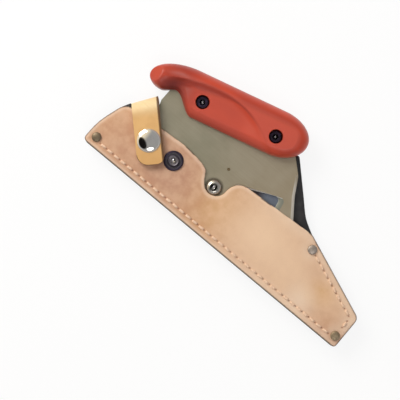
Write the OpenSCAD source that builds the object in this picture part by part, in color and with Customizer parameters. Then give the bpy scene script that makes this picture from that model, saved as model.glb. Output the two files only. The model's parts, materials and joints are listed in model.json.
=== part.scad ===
// Pull knife with one moulded grip, stowed in its leather sheath.
// X runs along the cutting edge to the sheath's tip, Y towards the grip, Z from the belt side to the front.
// The origin is the middle of the belt loop's outer face.
// Outlines are drawn from the sheath's lower left corner.

/* [Blade] */
// Length of the cutting edge
edge_l = 135; // [125:1:136]
// Thickness of the blade
blade_t = 2; // [1.6:0.1:3]
// How far the cutting edge stands out below the body plate
blade_show = 9; // [5:0.5:12]
// Width of the bevel ground along the cutting edge
bevel_w = 5; // [2:0.5:7]
// Edge left standing under the bevel
edge_land = 0.2; // [0.1:0.05:0.5]
// Gap between the blade's upper edge and the grip
blade_drop = 3; // [1:0.5:6]

/* [Body plate] */
// Thickness of the body plate
plate_t = 3; // [2.5:0.1:4]
// How far the plate's ends stand past the blade's ends
plate_over = 2; // [1:0.5:3]
// Lean of the plate's left end, in degrees from upright
heel_lean = 18.8; // [16:0.1:20]
// Height of the left end's slope above the cutting edge
heel_h = 45.8; // [42:0.2:48]
// Lean of the plate's right end, in degrees from upright
nose_lean = 36.2; // [34:0.2:40]
// Height at which the right end turns up to its horn
horn_foot = 53.4; // [50:0.2:56]
// Horn's corner along the grip, from the middle between the screws
horn_u = 54.9; // [52:0.1:57]
// Horn's corner below the screw line
horn_v = 18.1; // [15:0.1:19]
// Width of the bevel on the right end's front
rim_w = 2; // [1:0.5:4]
// Depth of the bevel on the right end's front
rim_d = 0.9; // [0.5:0.1:1.6]
// Corner radius of the plate
plate_r = 4; // [2:0.5:5]

/* [Window] */
// Left side of the window from the blade bolt
win_left = 12; // [10:0.5:16]
// Width of the window at its foot
win_w = 32.7; // [29:0.1:40]
// Window's foot above the blade bolt
win_foot = 5; // [2:0.5:8]
// Height of the window's left side
win_left_h = 6; // [4:0.5:8]
// Rise of the window's slanted upper edge
win_rise = 13.8; // [11:0.1:16]
// How far the window's upper right corner lies in from its foot
win_lean = 4.1; // [3:0.1:8]
// Corner radius of the window
win_r = 3; // [1.5:0.5:4]
// Width of the chamfer round the window
win_rim = 1.2; // [0.5:0.1:2]
// Extra width of the chamfer on the window's right side
win_bevel = 2.4; // [0:0.2:3]

/* [Blade bolt and pin] */
// Blade bolt along the edge from the heel
bolt_x = 50; // [46:0.5:54]
// Blade bolt above the cutting edge
bolt_y = 22; // [20:0.5:24]
// Thread diameter of the blade bolt
bolt_d = 6; // [5:0.5:6]
// Head diameter of the blade bolt
bolt_head_d = 11; // [9:0.5:11.5]
// Head height of the blade bolt
bolt_head_h = 3.3; // [2.5:0.1:3.6]
// Hexagon socket of the blade bolt, across flats
bolt_hex = 4; // [3:0.5:4.5]
// Flange diameter of the flush blade nut
nut_flange_d = 11; // [9.5:0.5:12]
// Flange thickness of the flush blade nut
nut_flange_t = 0.9; // [0.6:0.1:1]
// Barrel diameter of the flush blade nut
nut_barrel_d = 8; // [7.5:0.1:8.5]
// Diameter of the locating pin
pin_d = 2.4; // [2:0.1:4]
// Locating pin above the blade bolt
pin_up = 16.5; // [14:0.5:20]

/* [Grip] */
// Middle of the grip along the edge from the heel
grip_x = 33.3; // [30:0.1:36]
// Middle of the grip above the cutting edge
grip_y = 69.5; // [68:0.1:74]
// Tilt of the grip to the cutting edge
grip_tilt = 14.5; // [12:0.5:16]
// Thickness of the grip across its flats
grip_t = 26.4; // [24:0.2:26.4]
// How much fuller the grip's crown is than its flats
crown_over = 1.3; // [0.6:0.1:2]
// Grip's upper edge above the screw line
grip_top = 19.7; // [18:0.1:22]
// Grip's lower edge below the screw line
grip_low = 12.9; // [12:0.1:14]
// Grip's right end from the middle
grip_nose = 51.5; // [50:0.5:56]
// Grip's left end from the middle
grip_tail = 70.4; // [68:0.2:74]
// Length of the rounded right end
nose_l = 23.5; // [20:0.5:26]
// Length of the sloping left end
tail_l = 32.4; // [28:0.2:36]
// Lowest point of the hook from the middle
hook_u = 58.8; // [57:0.2:60]
// Hook's lowest point below the screw line
hook_low = 3.8; // [3:0.1:4.5]
// Notch behind the hook from the middle
notch_u = 48.5; // [47:0.5:50]
// Where the belly reaches the lower edge, from the middle
belly_u = 31.5; // [29:0.5:33]
// Height of both ends' tips above the screw line
tip_v = 4.2; // [3:0.2:6]
// Thinning of the hook, as a share of the grip
hook_thin = 0.22; // [0.1:0.01:0.35]
// Squareness of the grip's section, where 2 is an ellipse
grip_square = 2.4; // [2:0.1:3]
// Squareness of the section's lower shoulder
grip_square_low = 3.2; // [2:0.1:4]
// Ridge across the hook's end from the middle
hook_ridge = 62.5; // [60:0.5:64]
// Fall of the facet beyond the hook's ridge
hook_slope = 0.85; // [0.5:0.05:1.2]
// Crest of the ridge line left of the grip's middle
ridge_u = 24; // [20:1:28]
// Crest of the ridge line above the screw line
ridge_v = 12.6; // [11:0.1:14]
// Run of the ridge line to the left of its crest
ridge_left = 40; // [36:1:44]
// Fall of the ridge line over its left run
ridge_left_fall = 8.5; // [6:0.5:10]
// Run of the ridge line to the right of its crest
ridge_right = 56; // [50:1:60]
// Fall of the ridge line over its right run
ridge_right_fall = 26.5; // [24:0.5:28]
// Depth of the finger scoop below the ridge line
scoop_d = 2.3; // [1:0.1:3]
// Width of the scoop's wall below the ridge line
scoop_wall = 5.5; // [4:0.5:8]
// Further hollow at the neck of the hook
neck_d = 1.8; // [0:0.1:2.5]
// Deepest place of the neck's hollow from the middle
neck_u = 49; // [46:0.5:52]
// Half length of the neck's hollow
neck_l = 14; // [12:0.5:16]
// Height above the parting plane at which the finger scoop starts
scoop_from = 2.6; // [2:0.1:4]
// Height over which the finger scoop comes to its depth
scoop_run = 6.6; // [5:0.1:8]

/* [Grip screws] */
// Distance between the two screws
screw_gap = 56.3; // [54:0.1:60]
// Thread diameter of the screws
screw_d = 5; // [4:0.5:5]
// Head diameter of the screws
screw_head_d = 8.5; // [7.5:0.1:9]
// Head height of the screws
screw_head_h = 5; // [4:0.1:5]
// Counterbore diameter round the heads
screw_bore_d = 10; // [9.4:0.1:10.5]
// Hexagon socket of the screws, across flats
screw_hex = 4; // [3:0.5:4.5]
// Grip wall left between screw head and plate
screw_seat = 2; // [1.5:0.1:2.5]
// Nut across flats
nut_af = 8; // [7:0.1:8.5]
// Nut height
nut_h = 4; // [3.5:0.1:4.5]
// Tang past the left screw
tang_left = 22; // [20:0.5:23]
// Tang past the right screw
tang_right = 16.5; // [14:0.5:18]
// Tang above the screw line
tang_up = 7; // [6:0.5:9]

/* [Sheath] */
// Thickness of the front panel
front_t = 2.6; // [2:0.1:3.2]
// Thickness of the back panel
back_t = 2.4; // [2:0.1:3]
// Width of the welt between the panels
welt_w = 9; // [8.5:0.1:9.5]
// Sheath's left end from the heel
heel_room = 42; // [38:0.5:46]
// Sheath's tip past the point of the edge
tip_room = 51.5; // [48:0.5:60]
// Height of the tip's corner
tip_h = 25.7; // [23:0.1:27]
// Shoulder where the seam ends, back from the tip
shoulder_back = 62; // [60:0.5:63]
// Height of the shoulder
shoulder_h = 50.2; // [49:0.1:52]
// Height of the mouth beside the bolt notch
mouth_h = 45.8; // [44:0.1:47]
// Height of the lobe left of the bolt notch
lobe_h = 41.5; // [39:0.1:43]
// Height of the mouth at the left end
mouth_left_h = 37.5; // [36:0.1:39]
// Half width of the bolt notch
notch_r = 9; // [8:0.1:10]
// Radius of the mouth's right lobe
lobe_r = 11; // [8:0.5:11]
// Left end's draw-in at the mouth
end_in = 7.6; // [5:0.2:9]
// Height of the left end's waist
waist_h = 16; // [12:0.5:20]
// Crest of the left lobe from the bolt
lobe_back = 31.5; // [28:0.5:34]
// Fall of the left lobe at the notch
lobe_fall = 3.4; // [2.5:0.1:4]
// Bend of the back panel's right edge, in from the shoulder
bend_in = 18; // [14:0.5:20]
// Bend of the back panel's right edge, up from the shoulder
bend_up = 13; // [10:0.1:15]
// Back panel's upper corner, in from the grip's right end
back_in = 3.1; // [2:0.1:5]
// Gap between the back panel's upper corner and the grip
back_gap = 0.6; // [0.4:0.1:1.5]
// Gap between the back panel's hidden upper edge and the grip
back_drop = 2.4; // [1.5:0.1:4]

/* [Seam] */
// Seam line in from the edge
seam_in = 4.7; // [4:0.1:5.5]
// Distance from stitch to stitch
stitch_pitch = 5.8; // [5.4:0.1:8]
// Length of one stitch
stitch_l = 4.2; // [3.5:0.1:4.6]
// Thickness of the sewing thread
thread_d = 1.4; // [1:0.1:1.6]
// Cap diameter of the edge rivets
rivet_d = 6.8; // [6:0.1:8]
// Cap height of the edge rivets
rivet_h = 1.5; // [1:0.1:2]
// Post diameter of the edge rivets
rivet_post_d = 3; // [2.5:0.1:3.4]
// Lower rivets up from the bottom edge
rivet_up = 6.5; // [5.5:0.1:7]
// Shoulder rivet along the edge from the shoulder
shoulder_rivet = 8.9; // [7.5:0.1:11]

/* [Belt loop] */
// Thickness of the belt loop
loop_t = 2.4; // [2:0.1:3]
// Width of the belt that fits through
belt_w = 42; // [34:1:46]
// Room for the belt behind the sheath
belt_gap = 4.6; // [4.6:0.1:6]
// Width of the belt loop
loop_w = 28; // [24:1:34]
// Length of each sewn-down end of the loop
loop_tab = 11; // [9:0.5:13]
// Run of the loop's bends
loop_run = 3; // [2:0.5:4]
// Middle of the loop from the sheath's left end
loop_x = 95; // [90:1:100]
// Middle of the loop from the sheath's bottom edge
loop_y = 36; // [33:1:38]
// Distance between the two rivets on each end
loop_rivet_gap = 16; // [12:1:18]

/* [Strap and snap] */
// Thickness of the strap
strap_t = 2.2; // [1.8:0.1:2.6]
// Width of the strap
strap_w = 19; // [17:0.2:20]
// Length of the flap from its fold
flap_l = 45.8; // [42:0.2:50]
// Strap's fold from the sheath's left end
fold_x = 16.7; // [15:0.1:17.5]
// Strap's fold above the bottom edge
fold_y = 47.3; // [46:0.1:48]
// Turn of the strap below the horizontal
strap_turn = 44.5; // [42:0.5:47]
// Corner radius of the flap's end
flap_r = 6.5; // [4:0.5:7.5]
// Length of the strap's root behind the back panel
root_l = 26; // [23:0.5:28]
// Snap cap back from the flap's end
cap_back = 17; // [14:0.5:19]
// Diameter of the snap cap
cap_d = 16.5; // [14:0.5:17.5]
// Height of the snap cap
cap_h = 2; // [1.2:0.1:2.4]
// Diameter of the snap socket
socket_d = 12; // [10:0.5:13]
// Height of the snap socket
socket_h = 2.4; // [2.2:0.1:3]
// Diameter of the stud's base ring
stud_d = 14.3; // [12:0.1:15]
// Height of the stud's base ring
stud_base_h = 1.2; // [0.8:0.1:1.5]
// Diameter of the stud's knob
knob_d = 6; // [5:0.1:7]
// Height of the stud's knob above its base ring
knob_h = 2; // [1.5:0.1:2.4]
// Lip of the stud's knob over its neck
knob_lip = 0.6; // [0.3:0.1:0.8]
// Stud from the blade bolt, leftwards
stud_left = 33.5; // [32:0.5:35]
// Stud above the bottom edge
stud_up = 28.2; // [26:0.1:29]
// Post diameter of the snap parts
snap_post_d = 3.2; // [2.6:0.1:3.6]

/* [Fits] */
// Gap between the knife and the sheath's panels
pocket_gap = 0.3; // [0.3:0.05:0.5]
// Gap between the cutting edge and the welt
edge_gap = 1; // [0.5:0.1:2]
// Radial gap of pins, posts and shanks in their holes
hole_gap = 0.05; // [0.03:0.01:0.1]
// Gap round the tang, nuts and other seated pieces
seat_gap = 0.2; // [0.1:0.05:0.3]
// Gap between the strap and what it passes
strap_gap = 0.4; // [0.3:0.05:0.6]
// Lean of the draw out of the sheath, in degrees from upright
draw_lean = 18; // [16:0.5:19]

/* [Hidden] */
$fn = 64;
// Overlap that a cut runs past the face it opens
cut = 1;
// Thickness of a sheet that only carries an outline
sliver = 0.01;
// Largest turn between two points of a rounded corner
arc_step = 12;
// Steps from the rim of a domed cap to its crest, and the dome's share of the cap's height
dome_steps = 8;
dome_share = 0.6;
// Sections along the grip's straight stretch, and steps across its scoop and its band
grip_steps = 22;
scoop_steps = 8;
band_steps = 5;
// Farthest that the ridge's points go towards the grip's edges, as a share of its half width
ridge_share = 0.7;
// Powers of the ridge line's bends on both sides of its crest
ridge_left_bend = 1.6;
ridge_right_bend = 2.4;
// Corner radii of the leather, from a crisp corner to a long sweep
crisp_r = 1.5;
small_r = 2.5;
round_r = 5;
broad_r = 9;
sweep_r = 40;

// Levels from the belt side up
back_z = loop_t + belt_gap;
pocket_z = back_z + back_t;
blade_z = pocket_z + pocket_gap;
plate_z = blade_z + blade_t;
plate_top = plate_z + plate_t;
mid_z = plate_z + plate_t / 2;
front_z = plate_top + pocket_gap;
front_top = front_z + front_t;

// Places in the sheath, from its lower left corner
edge_y = welt_w + edge_gap;
sheath_l = heel_room + edge_l + tip_room;
bolt_at = [heel_room + bolt_x, edge_y + bolt_y];
pin_at = bolt_at + [0, pin_up];
stud_at = [bolt_at.x - stud_left, stud_up];
draw_dir = [-sin(draw_lean), cos(draw_lean)];

// Seam line along the slanted upper right edge
tip_corner = [sheath_l, tip_h];
shoulder = [sheath_l - shoulder_back, shoulder_h];
slant = unit(shoulder - tip_corner);
slant_in = [-slant.y, slant.x];
seam_end = shoulder - slant * shoulder_rivet + slant_in * seam_in;
rivet_at = [[rivet_up, rivet_up], [sheath_l - seam_in, rivet_up], seam_end];

// Strap fold: the strap leaves the back, turns up and lies over the front
flap_mid = front_top + strap_gap + socket_h + strap_t / 2;
root_mid = back_z - strap_t / 2;
fold_r = (flap_mid - root_mid) / 2;
fold_z = (flap_mid + root_mid) / 2;
cap_from_fold = flap_l - strap_t / 2 - cap_back;

// Belt loop's inner and outer bends
loop_slant = norm([loop_run, belt_gap]);
loop_in = belt_w / 2 + cut;
loop_out = loop_in + loop_t * (loop_slant - loop_run) / belt_gap;
loop_half = loop_out + loop_run + loop_tab;
loop_rivet_x = loop_half - loop_tab / 2;

// Heads of the hidden rivets, sunk flush on the pocket side
sunk_d = rivet_post_d * 2;
sunk_h = rivet_h / 2;

function unit(v) = v / norm(v);
function ease(t) = t <= 0 ? 0 : t >= 1 ? 1 : t * t * (3 - 2 * t);
function dome(t) = sqrt(max(0, 1 - t * t));
function blunt(t) = pow(max(0, 1 - pow(t, 3)), 1 / 3);

// Points of one rounded corner at b, coming from a and going on to c
function corner(a, b, c, r) =
    let (
        u = unit(a - b),
        v = unit(c - b),
        half = acos(u * v) / 2,
        start = b + u * r / tan(half),
        end = b + v * r / tan(half),
        mid = b + unit(u + v) * r / sin(half),
        from = atan2(start.y - mid.y, start.x - mid.x),
        to = atan2(end.y - mid.y, end.x - mid.x),
        sweep = (to - from + 540) % 360 - 180,
        steps = max(2, ceil(abs(sweep) / arc_step))
    )
    [for (i = [0:steps]) mid + r * [cos(from + sweep * i / steps), sin(from + sweep * i / steps)]];

// Outline through corners given as [point, radius]
function rounded(list) =
    let (n = len(list))
    [for (i = [0:n - 1])
        let (item = list[i])
        each item[1] == 0 ? [item[0]]
            : corner(list[(i + n - 1) % n][0], item[0], list[(i + 1) % n][0], item[1])];

// Where two lines meet, each given by a point and a direction
function meet(p, d, q, e) = p + d * ((q - p).x * e.y - (q - p).y * e.x) / (d.x * e.y - d.y * e.x);

// Points of the knife and of its grip, seen from the sheath's corner
function on_knife(p) = [heel_room, edge_y] + p;
function on_grip(p) = on_knife([grip_x, grip_y])
    + [p.x * cos(grip_tilt) - p.y * sin(grip_tilt), p.x * sin(grip_tilt) + p.y * cos(grip_tilt)];
function left_end(y) = on_knife([-y * tan(heel_lean), y]);
function right_end(y) = on_knife([edge_l - y * tan(nose_lean), y]);

// Grip outline: upper and lower edge at a place u along the screw line
function nose_part(u) = (u - grip_nose + nose_l) / nose_l;
function tail_part(u) = (tail_l - grip_tail - u) / tail_l;
function hook_part(u) = (-hook_u - u) / (grip_tail - hook_u);
function grip_hi(u) =
    u > grip_nose - nose_l ? tip_v + (grip_top - tip_v) * dome(nose_part(u))
    : u < tail_l - grip_tail ? tip_v + (grip_top - tip_v) * dome(tail_part(u))
    : grip_top;
function grip_lo(u) =
    u > grip_nose - nose_l ? tip_v - (tip_v + grip_low) * dome(nose_part(u))
    : u > -belly_u ? -grip_low
    : u > -notch_u ? -grip_low * ease((u + notch_u) / (notch_u - belly_u))
    : u > -hook_u ? -hook_low * (1 - ease((u + hook_u) / (hook_u - notch_u)))
    : tip_v - (tip_v + hook_low) * dome(hook_part(u));

// Grip surface: a crown with flat cheeks, hollowed below a crisp ridge line, with a facet at the hook's end
function crown(u) = (grip_t / 2 + crown_over)
    * (u > grip_nose - nose_l ? blunt(nose_part(u)) : u < -hook_u ? blunt(hook_part(u)) : 1)
    * (1 - hook_thin * ease((-u - belly_u) / (hook_u - belly_u)));
function ridge(u) = u > -ridge_u
    ? ridge_v - ridge_right_fall * pow((u + ridge_u) / ridge_right, ridge_right_bend)
    : ridge_v - ridge_left_fall * pow((-u - ridge_u) / ridge_left, ridge_left_bend);
function scoop(u, v) =
    let (
        fall = (ridge(u + 1) - ridge(u - 1)) / 2,
        inside = max(0, ridge(u) - v) / sqrt(1 + fall * fall),
        wall = 1 - pow(1 - min(1, inside / scoop_wall), 2),
        neck = 1 - ease(abs(u + neck_u) / neck_l)
    )
    wall * (scoop_d * ease((u + hook_ridge) / neck_l) + neck_d * neck);
function cheek(u, v, w) =
    let (
        square = w > 0 ? grip_square : grip_square_low,
        full = crown(u) * pow(1 - pow(abs(w), square), 1 / square),
        facet = u > -hook_ridge ? full : crown(-hook_ridge) - hook_slope * (-hook_ridge - u),
        flat = min(full, facet, grip_t / 2)
    )
    max(flat - scoop(u, v) * ease((flat - scoop_from) / scoop_run), 0);

// Shares across the grip from its lower to its upper edge, one of them on the ridge line
function ring(u) =
    let (
        mid = (grip_hi(u) + grip_lo(u)) / 2,
        half = (grip_hi(u) - grip_lo(u)) / 2,
        crest = max(-ridge_share / 2, min(ridge_share, (ridge(u) - mid) / half))
    )
    concat(
        [for (i = [0:scoop_steps - 1]) -1 + (crest + 1) * (1 - cos(180 * i / scoop_steps)) / 2],
        [for (i = [0:band_steps]) crest + (1 - crest) * sin(90 * i / band_steps)]);

// Outline of the plate with its tang, grown on all sides
function plate_outline(grow) = rounded([
    [left_end(blade_show) - [plate_over + grow, grow], plate_r / 2],
    [right_end(blade_show) + [plate_over + grow, -grow], plate_r / 2],
    [right_end(horn_foot) + [plate_over + grow, 0], 0],
    [on_grip([horn_u + grow, -horn_v]), plate_r],
    [on_grip([screw_gap / 2 + tang_right + grow, -grip_low / 5]), 0],
    [on_grip([screw_gap / 2 + tang_right + grow, tang_up + grow]), plate_r],
    [on_grip([-screw_gap / 2 - tang_left - grow, tang_up + grow]), plate_r],
    [left_end(heel_h) - [plate_over + grow, 0], 0]]);

// Outline of the window, grown on all sides and by extra on its right
function window_outline(grow, extra) = rounded([
    [bolt_at + [win_left - grow, win_foot - grow], win_r],
    [bolt_at + [win_left + win_w + grow + extra, win_foot - grow], win_r],
    [bolt_at + [win_left + win_w - win_lean + grow + extra, win_foot + win_left_h + win_rise + grow], win_r],
    [bolt_at + [win_left - grow, win_foot + win_left_h + grow], win_r]]);

// Bottom, left end and tip that both panels share
mouth_left = [end_in, mouth_left_h];
function panel_foot() = [
    [[0, 0], small_r],
    [[sheath_l, 0], crisp_r],
    [tip_corner, round_r]];
left_waist = [[end_in / 12, waist_h], sweep_r];

front_outline = rounded(concat(panel_foot(), [
    [shoulder, round_r],
    [[bolt_at.x + notch_r, mouth_h], lobe_r],
    [bolt_at + [notch_r, -bolt_head_d / 2 - strap_gap], notch_r - strap_gap / 4],
    [bolt_at + [-notch_r, -bolt_head_d / 2 - strap_gap], notch_r - strap_gap / 4],
    [[bolt_at.x - notch_r, lobe_h - lobe_fall], small_r],
    [[bolt_at.x - lobe_back, lobe_h], sweep_r],
    [mouth_left, broad_r],
    left_waist]));

// Back panel: follows the left end, stands out beside the strap's fold and rises to the grip
back_edge_v = -grip_low - back_drop;
fold_at = [fold_x, fold_y];
fold_dir = [sin(strap_turn), cos(strap_turn)];
back_ear = fold_at - fold_dir * strap_w / 2;
back_left = mouth_left + (left_waist[0] - mouth_left) / waist_h * small_r;
function grip_edge(u) = on_grip([u, grip_lo(u)]);
corner_u = grip_nose - back_in;
corner_run = unit(grip_edge(corner_u + back_in / 2) - grip_edge(corner_u - back_in / 2));
back_corner = grip_edge(corner_u) + back_gap * [corner_run.y, -corner_run.x];
back_outline = rounded(concat(panel_foot(), [
    [shoulder, round_r],
    [shoulder + [-bend_in, bend_up], sweep_r],
    [back_corner, crisp_r / 3],
    [on_grip([grip_nose - nose_l / 2, back_edge_v]), broad_r],
    [on_grip([-belly_u, back_edge_v]), broad_r],
    [on_grip([-hook_u, back_edge_v]), 0],
    [back_ear, 0],
    [back_left, small_r],
    left_waist]));

// Moves children to a place in the sheath's own drawing
module at(p, z = 0) translate([p.x - loop_x, p.y - loop_y, z]) children();
module sheet(outline, z, t) at([0, 0], z) linear_extrude(t) polygon(outline);
module hole(p, d, z, h) at(p, z) cylinder(d = d, h = h);

// Cap of a rivet or snap: a low dome on a short rim
module button(d, h) {
    rise = h * dome_share;
    ball = (d * d / 4 + rise * rise) / (2 * rise);
    step = asin(d / 2 / ball) / dome_steps;
    crest = [for (i = [dome_steps:-1:0]) [0, h - ball] + ball * [sin(step * i), cos(step * i)]];
    rotate_extrude() polygon(concat([[0, 0], [d / 2, 0]], crest));
}

module hex_socket(p, af, z, h) at(p, z) cylinder(d = af / cos(30), h = h, $fn = 6);

// Strap frame: X along the strap to its free end, Y along the fold, Z up, origin on the fold
module in_strap() at(fold_at, fold_z) rotate(-strap_turn) children();
strap_in = [cos(strap_turn), -sin(strap_turn)];
cap_at = fold_at + strap_in * cap_from_fold;
strap_rivet_at = [for (x = [fold_r + rivet_d, fold_r + root_l - rivet_d]) fold_at + strap_in * x];
loop_rivet_at = [for (x = [-1, 1], y = [-1, 1])
    [loop_x + x * loop_rivet_x, loop_y + y * loop_rivet_gap / 2]];

// Quarter turn of the strap round the fold, from one angle to another
module fold_arc(from, to)
    translate([fold_r, strap_w / 2, 0]) rotate([90, 0, 0]) rotate(from)
        rotate_extrude(angle = to - from) translate([fold_r - strap_t / 2, 0]) square([strap_t, strap_w]);

// Flat run of the strap from the fold to an end with rounded corners
module strap_run(l, r, z)
    translate([fold_r, -strap_w / 2, z - strap_t / 2]) linear_extrude(strap_t)
        polygon(rounded([[[0, 0], 0], [[l, 0], r], [[l, strap_w], r], [[0, strap_w], 0]]));

module front_panel() color("tan") difference() {
    sheet(front_outline, front_z, front_t);
    for (p = rivet_at) hole(p, rivet_post_d + 2 * hole_gap, front_z - cut, front_t + 2 * cut);
    hole(stud_at, snap_post_d + 2 * hole_gap, front_z - cut, front_t + 2 * cut);
    hole(stud_at, sunk_d + 2 * seat_gap, front_z - cut, sunk_h + cut);
}

module back_panel() color("dimgray") difference() {
    sheet(back_outline, back_z, back_t);
    in_strap() translate([fold_r + strap_gap - sheath_l, -strap_w / 2 - strap_gap, back_z - fold_z - cut])
        cube([sheath_l, strap_w + 2 * strap_gap, back_t + 2 * cut]);
    for (p = rivet_at) hole(p, rivet_post_d + 2 * hole_gap, back_z - cut, back_t + 2 * cut);
    for (p = concat(strap_rivet_at, loop_rivet_at)) {
        hole(p, rivet_post_d + 2 * hole_gap, back_z - cut, back_t + 2 * cut);
        hole(p, sunk_d + 2 * seat_gap, pocket_z - sunk_h, sunk_h + cut);
    }
}

// Filler between the panels along the sewn edges, cut off in line with the draw
module edge_welt() color("peru") difference() {
    sheet(front_outline, pocket_z, front_z - pocket_z);
    inner_end = meet(shoulder + slant_in * welt_w, slant, seam_end - [rivet_post_d * 1.5, 0], draw_dir);
    inner_tip = meet(tip_corner + slant_in * welt_w, slant, [sheath_l - welt_w, 0], [0, 1]);
    pocket = [[-welt_w, welt_w], [sheath_l - welt_w, welt_w], inner_tip, inner_end,
        inner_end + draw_dir * sheath_l / 4, [-welt_w, sheath_l / 4]];
    sheet(pocket, pocket_z - cut, front_z - pocket_z + 2 * cut);
    for (p = rivet_at) hole(p, rivet_post_d + 2 * hole_gap, pocket_z - cut, front_z - pocket_z + 2 * cut);
}

// Half-round stitch lying on a face, along X
module stitch() rotate([0, 90, 0]) rotate([0, 0, 90]) rotate_extrude(angle = 180) {
    straight = stitch_l - thread_d;
    translate([0, -straight / 2]) square([thread_d / 2, straight]);
    for (end = [-1, 1]) translate([0, end * straight / 2]) intersection() {
        circle(d = thread_d);
        translate([0, -thread_d]) square([thread_d, 2 * thread_d]);
    }
}

// Row of stitches from a to b, on both faces of the sheath
module stitch_row(a, b) {
    count = floor(norm(b - a) / stitch_pitch);
    turn = atan2(b.y - a.y, b.x - a.x);
    for (i = [0:count - 1]) {
        p = a + (b - a) * (i + 0.5) / count;
        at(p, front_top) rotate(turn) stitch();
        at(p, back_z) rotate(turn) mirror([0, 0, 1]) stitch();
    }
}

module seam_thread() color("wheat") {
    low_tip = [sheath_l - seam_in, rivet_up];
    high_tip = meet(seam_end, slant, low_tip, [0, 1]);
    rivet_room = rivet_d / 2 + thread_d;
    stitch_row([rivet_up + rivet_room, seam_in], [sheath_l - seam_in - rivet_room, seam_in]);
    stitch_row(low_tip + [0, rivet_room], high_tip);
    stitch_row(high_tip + slant * thread_d, seam_end - slant * rivet_room);
}

module rivet_caps() color("gray") for (p = rivet_at) {
    at(p, front_top) difference() {
        button(rivet_d, rivet_h);
        translate([0, 0, -cut]) cylinder(d = rivet_post_d + 2 * hole_gap, h = rivet_h / 2 + cut);
    }
}

module rivet_posts() color("gray") for (p = rivet_at) {
    at(p, back_z) mirror([0, 0, 1]) button(rivet_d, rivet_h);
    hole(p, rivet_post_d, back_z, front_top - back_z + rivet_h / 2);
}

// Stud: a base ring with a raised rim, and a knob with a lip that the socket holds
module snap_stud() color("black") at(stud_at, front_top) difference() {
    neck_h = stud_base_h + knob_h / 2;
    union() {
        cylinder(d = stud_d, h = stud_base_h / 2);
        difference() {
            cylinder(d = stud_d - knob_lip, h = stud_base_h);
            translate([0, 0, stud_base_h / 2]) cylinder(d = stud_d - 4 * knob_lip, h = stud_base_h);
        }
        cylinder(d = knob_d - 2 * knob_lip, h = neck_h);
        translate([0, 0, neck_h]) cylinder(d = knob_d, h = knob_h / 2);
    }
    translate([0, 0, -cut]) cylinder(d = snap_post_d + 2 * hole_gap, h = stud_base_h + knob_h + 2 * cut);
}

// Hollow post that holds the stud, sunk flush inside the pocket
module stud_post() color("silver") at(stud_at, front_z) difference() {
    union() {
        cylinder(d = sunk_d, h = sunk_h);
        cylinder(d = snap_post_d, h = front_t + stud_base_h + knob_h - knob_lip);
    }
    translate([0, 0, sunk_h]) cylinder(d = snap_post_d / 2, h = front_t + stud_base_h + knob_h);
}

// Leather strip that bows away from the back and takes the belt
module belt_loop() color("dimgray") difference() {
    section = rounded([
        [[-loop_half, back_z], 0], [[-loop_half, belt_gap], 0],
        [[-loop_out - loop_run, belt_gap], crisp_r], [[-loop_out, 0], small_r],
        [[loop_out, 0], small_r], [[loop_out + loop_run, belt_gap], crisp_r],
        [[loop_half, belt_gap], 0], [[loop_half, back_z], 0],
        [[loop_in + loop_run, back_z], small_r], [[loop_in, loop_t], crisp_r],
        [[-loop_in, loop_t], crisp_r], [[-loop_in - loop_run, back_z], small_r]]);
    at([loop_x, loop_y]) rotate([90, 0, 0]) linear_extrude(loop_w, center = true) polygon(section);
    for (p = loop_rivet_at) hole(p, rivet_post_d + 2 * hole_gap, 0, back_z + cut);
}

// Set rivet: domed head outside, shank, flat head sunk into the pocket side
module flush_rivet(p, seat) {
    at(p, seat) mirror([0, 0, 1]) button(rivet_d, rivet_h);
    hole(p, rivet_post_d, seat, pocket_z - seat);
    hole(p, sunk_d, pocket_z - sunk_h, sunk_h);
}

module loop_rivets() color("gray") for (p = loop_rivet_at) flush_rivet(p, back_z - loop_t);

module strap_rivets() color("gray") for (p = strap_rivet_at) flush_rivet(p, back_z - strap_t);

// Root of the strap: a strip that turns up into the fold and stops short of the flap's round end
module strap_root() color("burlywood") difference() {
    outer_r = fold_r + strap_t / 2;
    inner_r = fold_r - strap_t / 2;
    end = fold_r + root_l;
    in_strap() intersection() {
        rotate([90, 0, 0]) linear_extrude(2 * strap_w, center = true) polygon(rounded([
            [[end + strap_w, -outer_r], 0], [[end + strap_w, -inner_r], 0],
            [[strap_t / 2, -inner_r], inner_r], [[strap_t / 2, strap_t], 0],
            [[-strap_t / 2, strap_t], 0], [[-strap_t / 2, -outer_r], outer_r]]));
        translate([0, 0, -strap_t / 2 - strap_gap - 2 * fold_r]) linear_extrude(2 * fold_r) polygon(rounded([
            [[-strap_t, -strap_w / 2], 0], [[end, -strap_w / 2], small_r],
            [[end, strap_w / 2], small_r], [[-strap_t, strap_w / 2], 0]]));
    }
    for (p = strap_rivet_at)
        hole(p, rivet_post_d + 2 * hole_gap, back_z - strap_t - cut, strap_t + 2 * cut);
}

// Flap that turns about the round end at its fold
module strap_flap() color("burlywood") difference() {
    end = flap_l - strap_t / 2 - fold_r;
    in_strap() {
        rotate([90, 0, 0]) cylinder(d = strap_t, h = strap_w, center = true);
        fold_arc(90, 180);
        strap_run(end, flap_r, fold_r);
    }
    hole(cap_at, snap_post_d + 2 * hole_gap, front_top, flap_mid);
}

module snap_cap() color("silver") {
    at(cap_at, flap_mid + strap_t / 2) button(cap_d, cap_h);
    hole(cap_at, snap_post_d, flap_mid - strap_t / 2 - socket_h / 4, strap_t + socket_h / 4 + cap_h / 4);
}

// Ring under the flap that snaps over the stud's knob
module snap_socket() color("silver") at(cap_at, flap_mid - strap_t / 2 - socket_h) difference() {
    union() {
        cylinder(d = knob_d + 4 * knob_lip, h = socket_h);
        translate([0, 0, socket_h / 2]) cylinder(d = socket_d, h = socket_h / 2);
    }
    translate([0, 0, -cut]) cylinder(d = knob_d + 2 * seat_gap, h = socket_h * 0.7 + cut);
    cylinder(d = snap_post_d + 2 * hole_gap, h = socket_h + cut);
}

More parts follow.
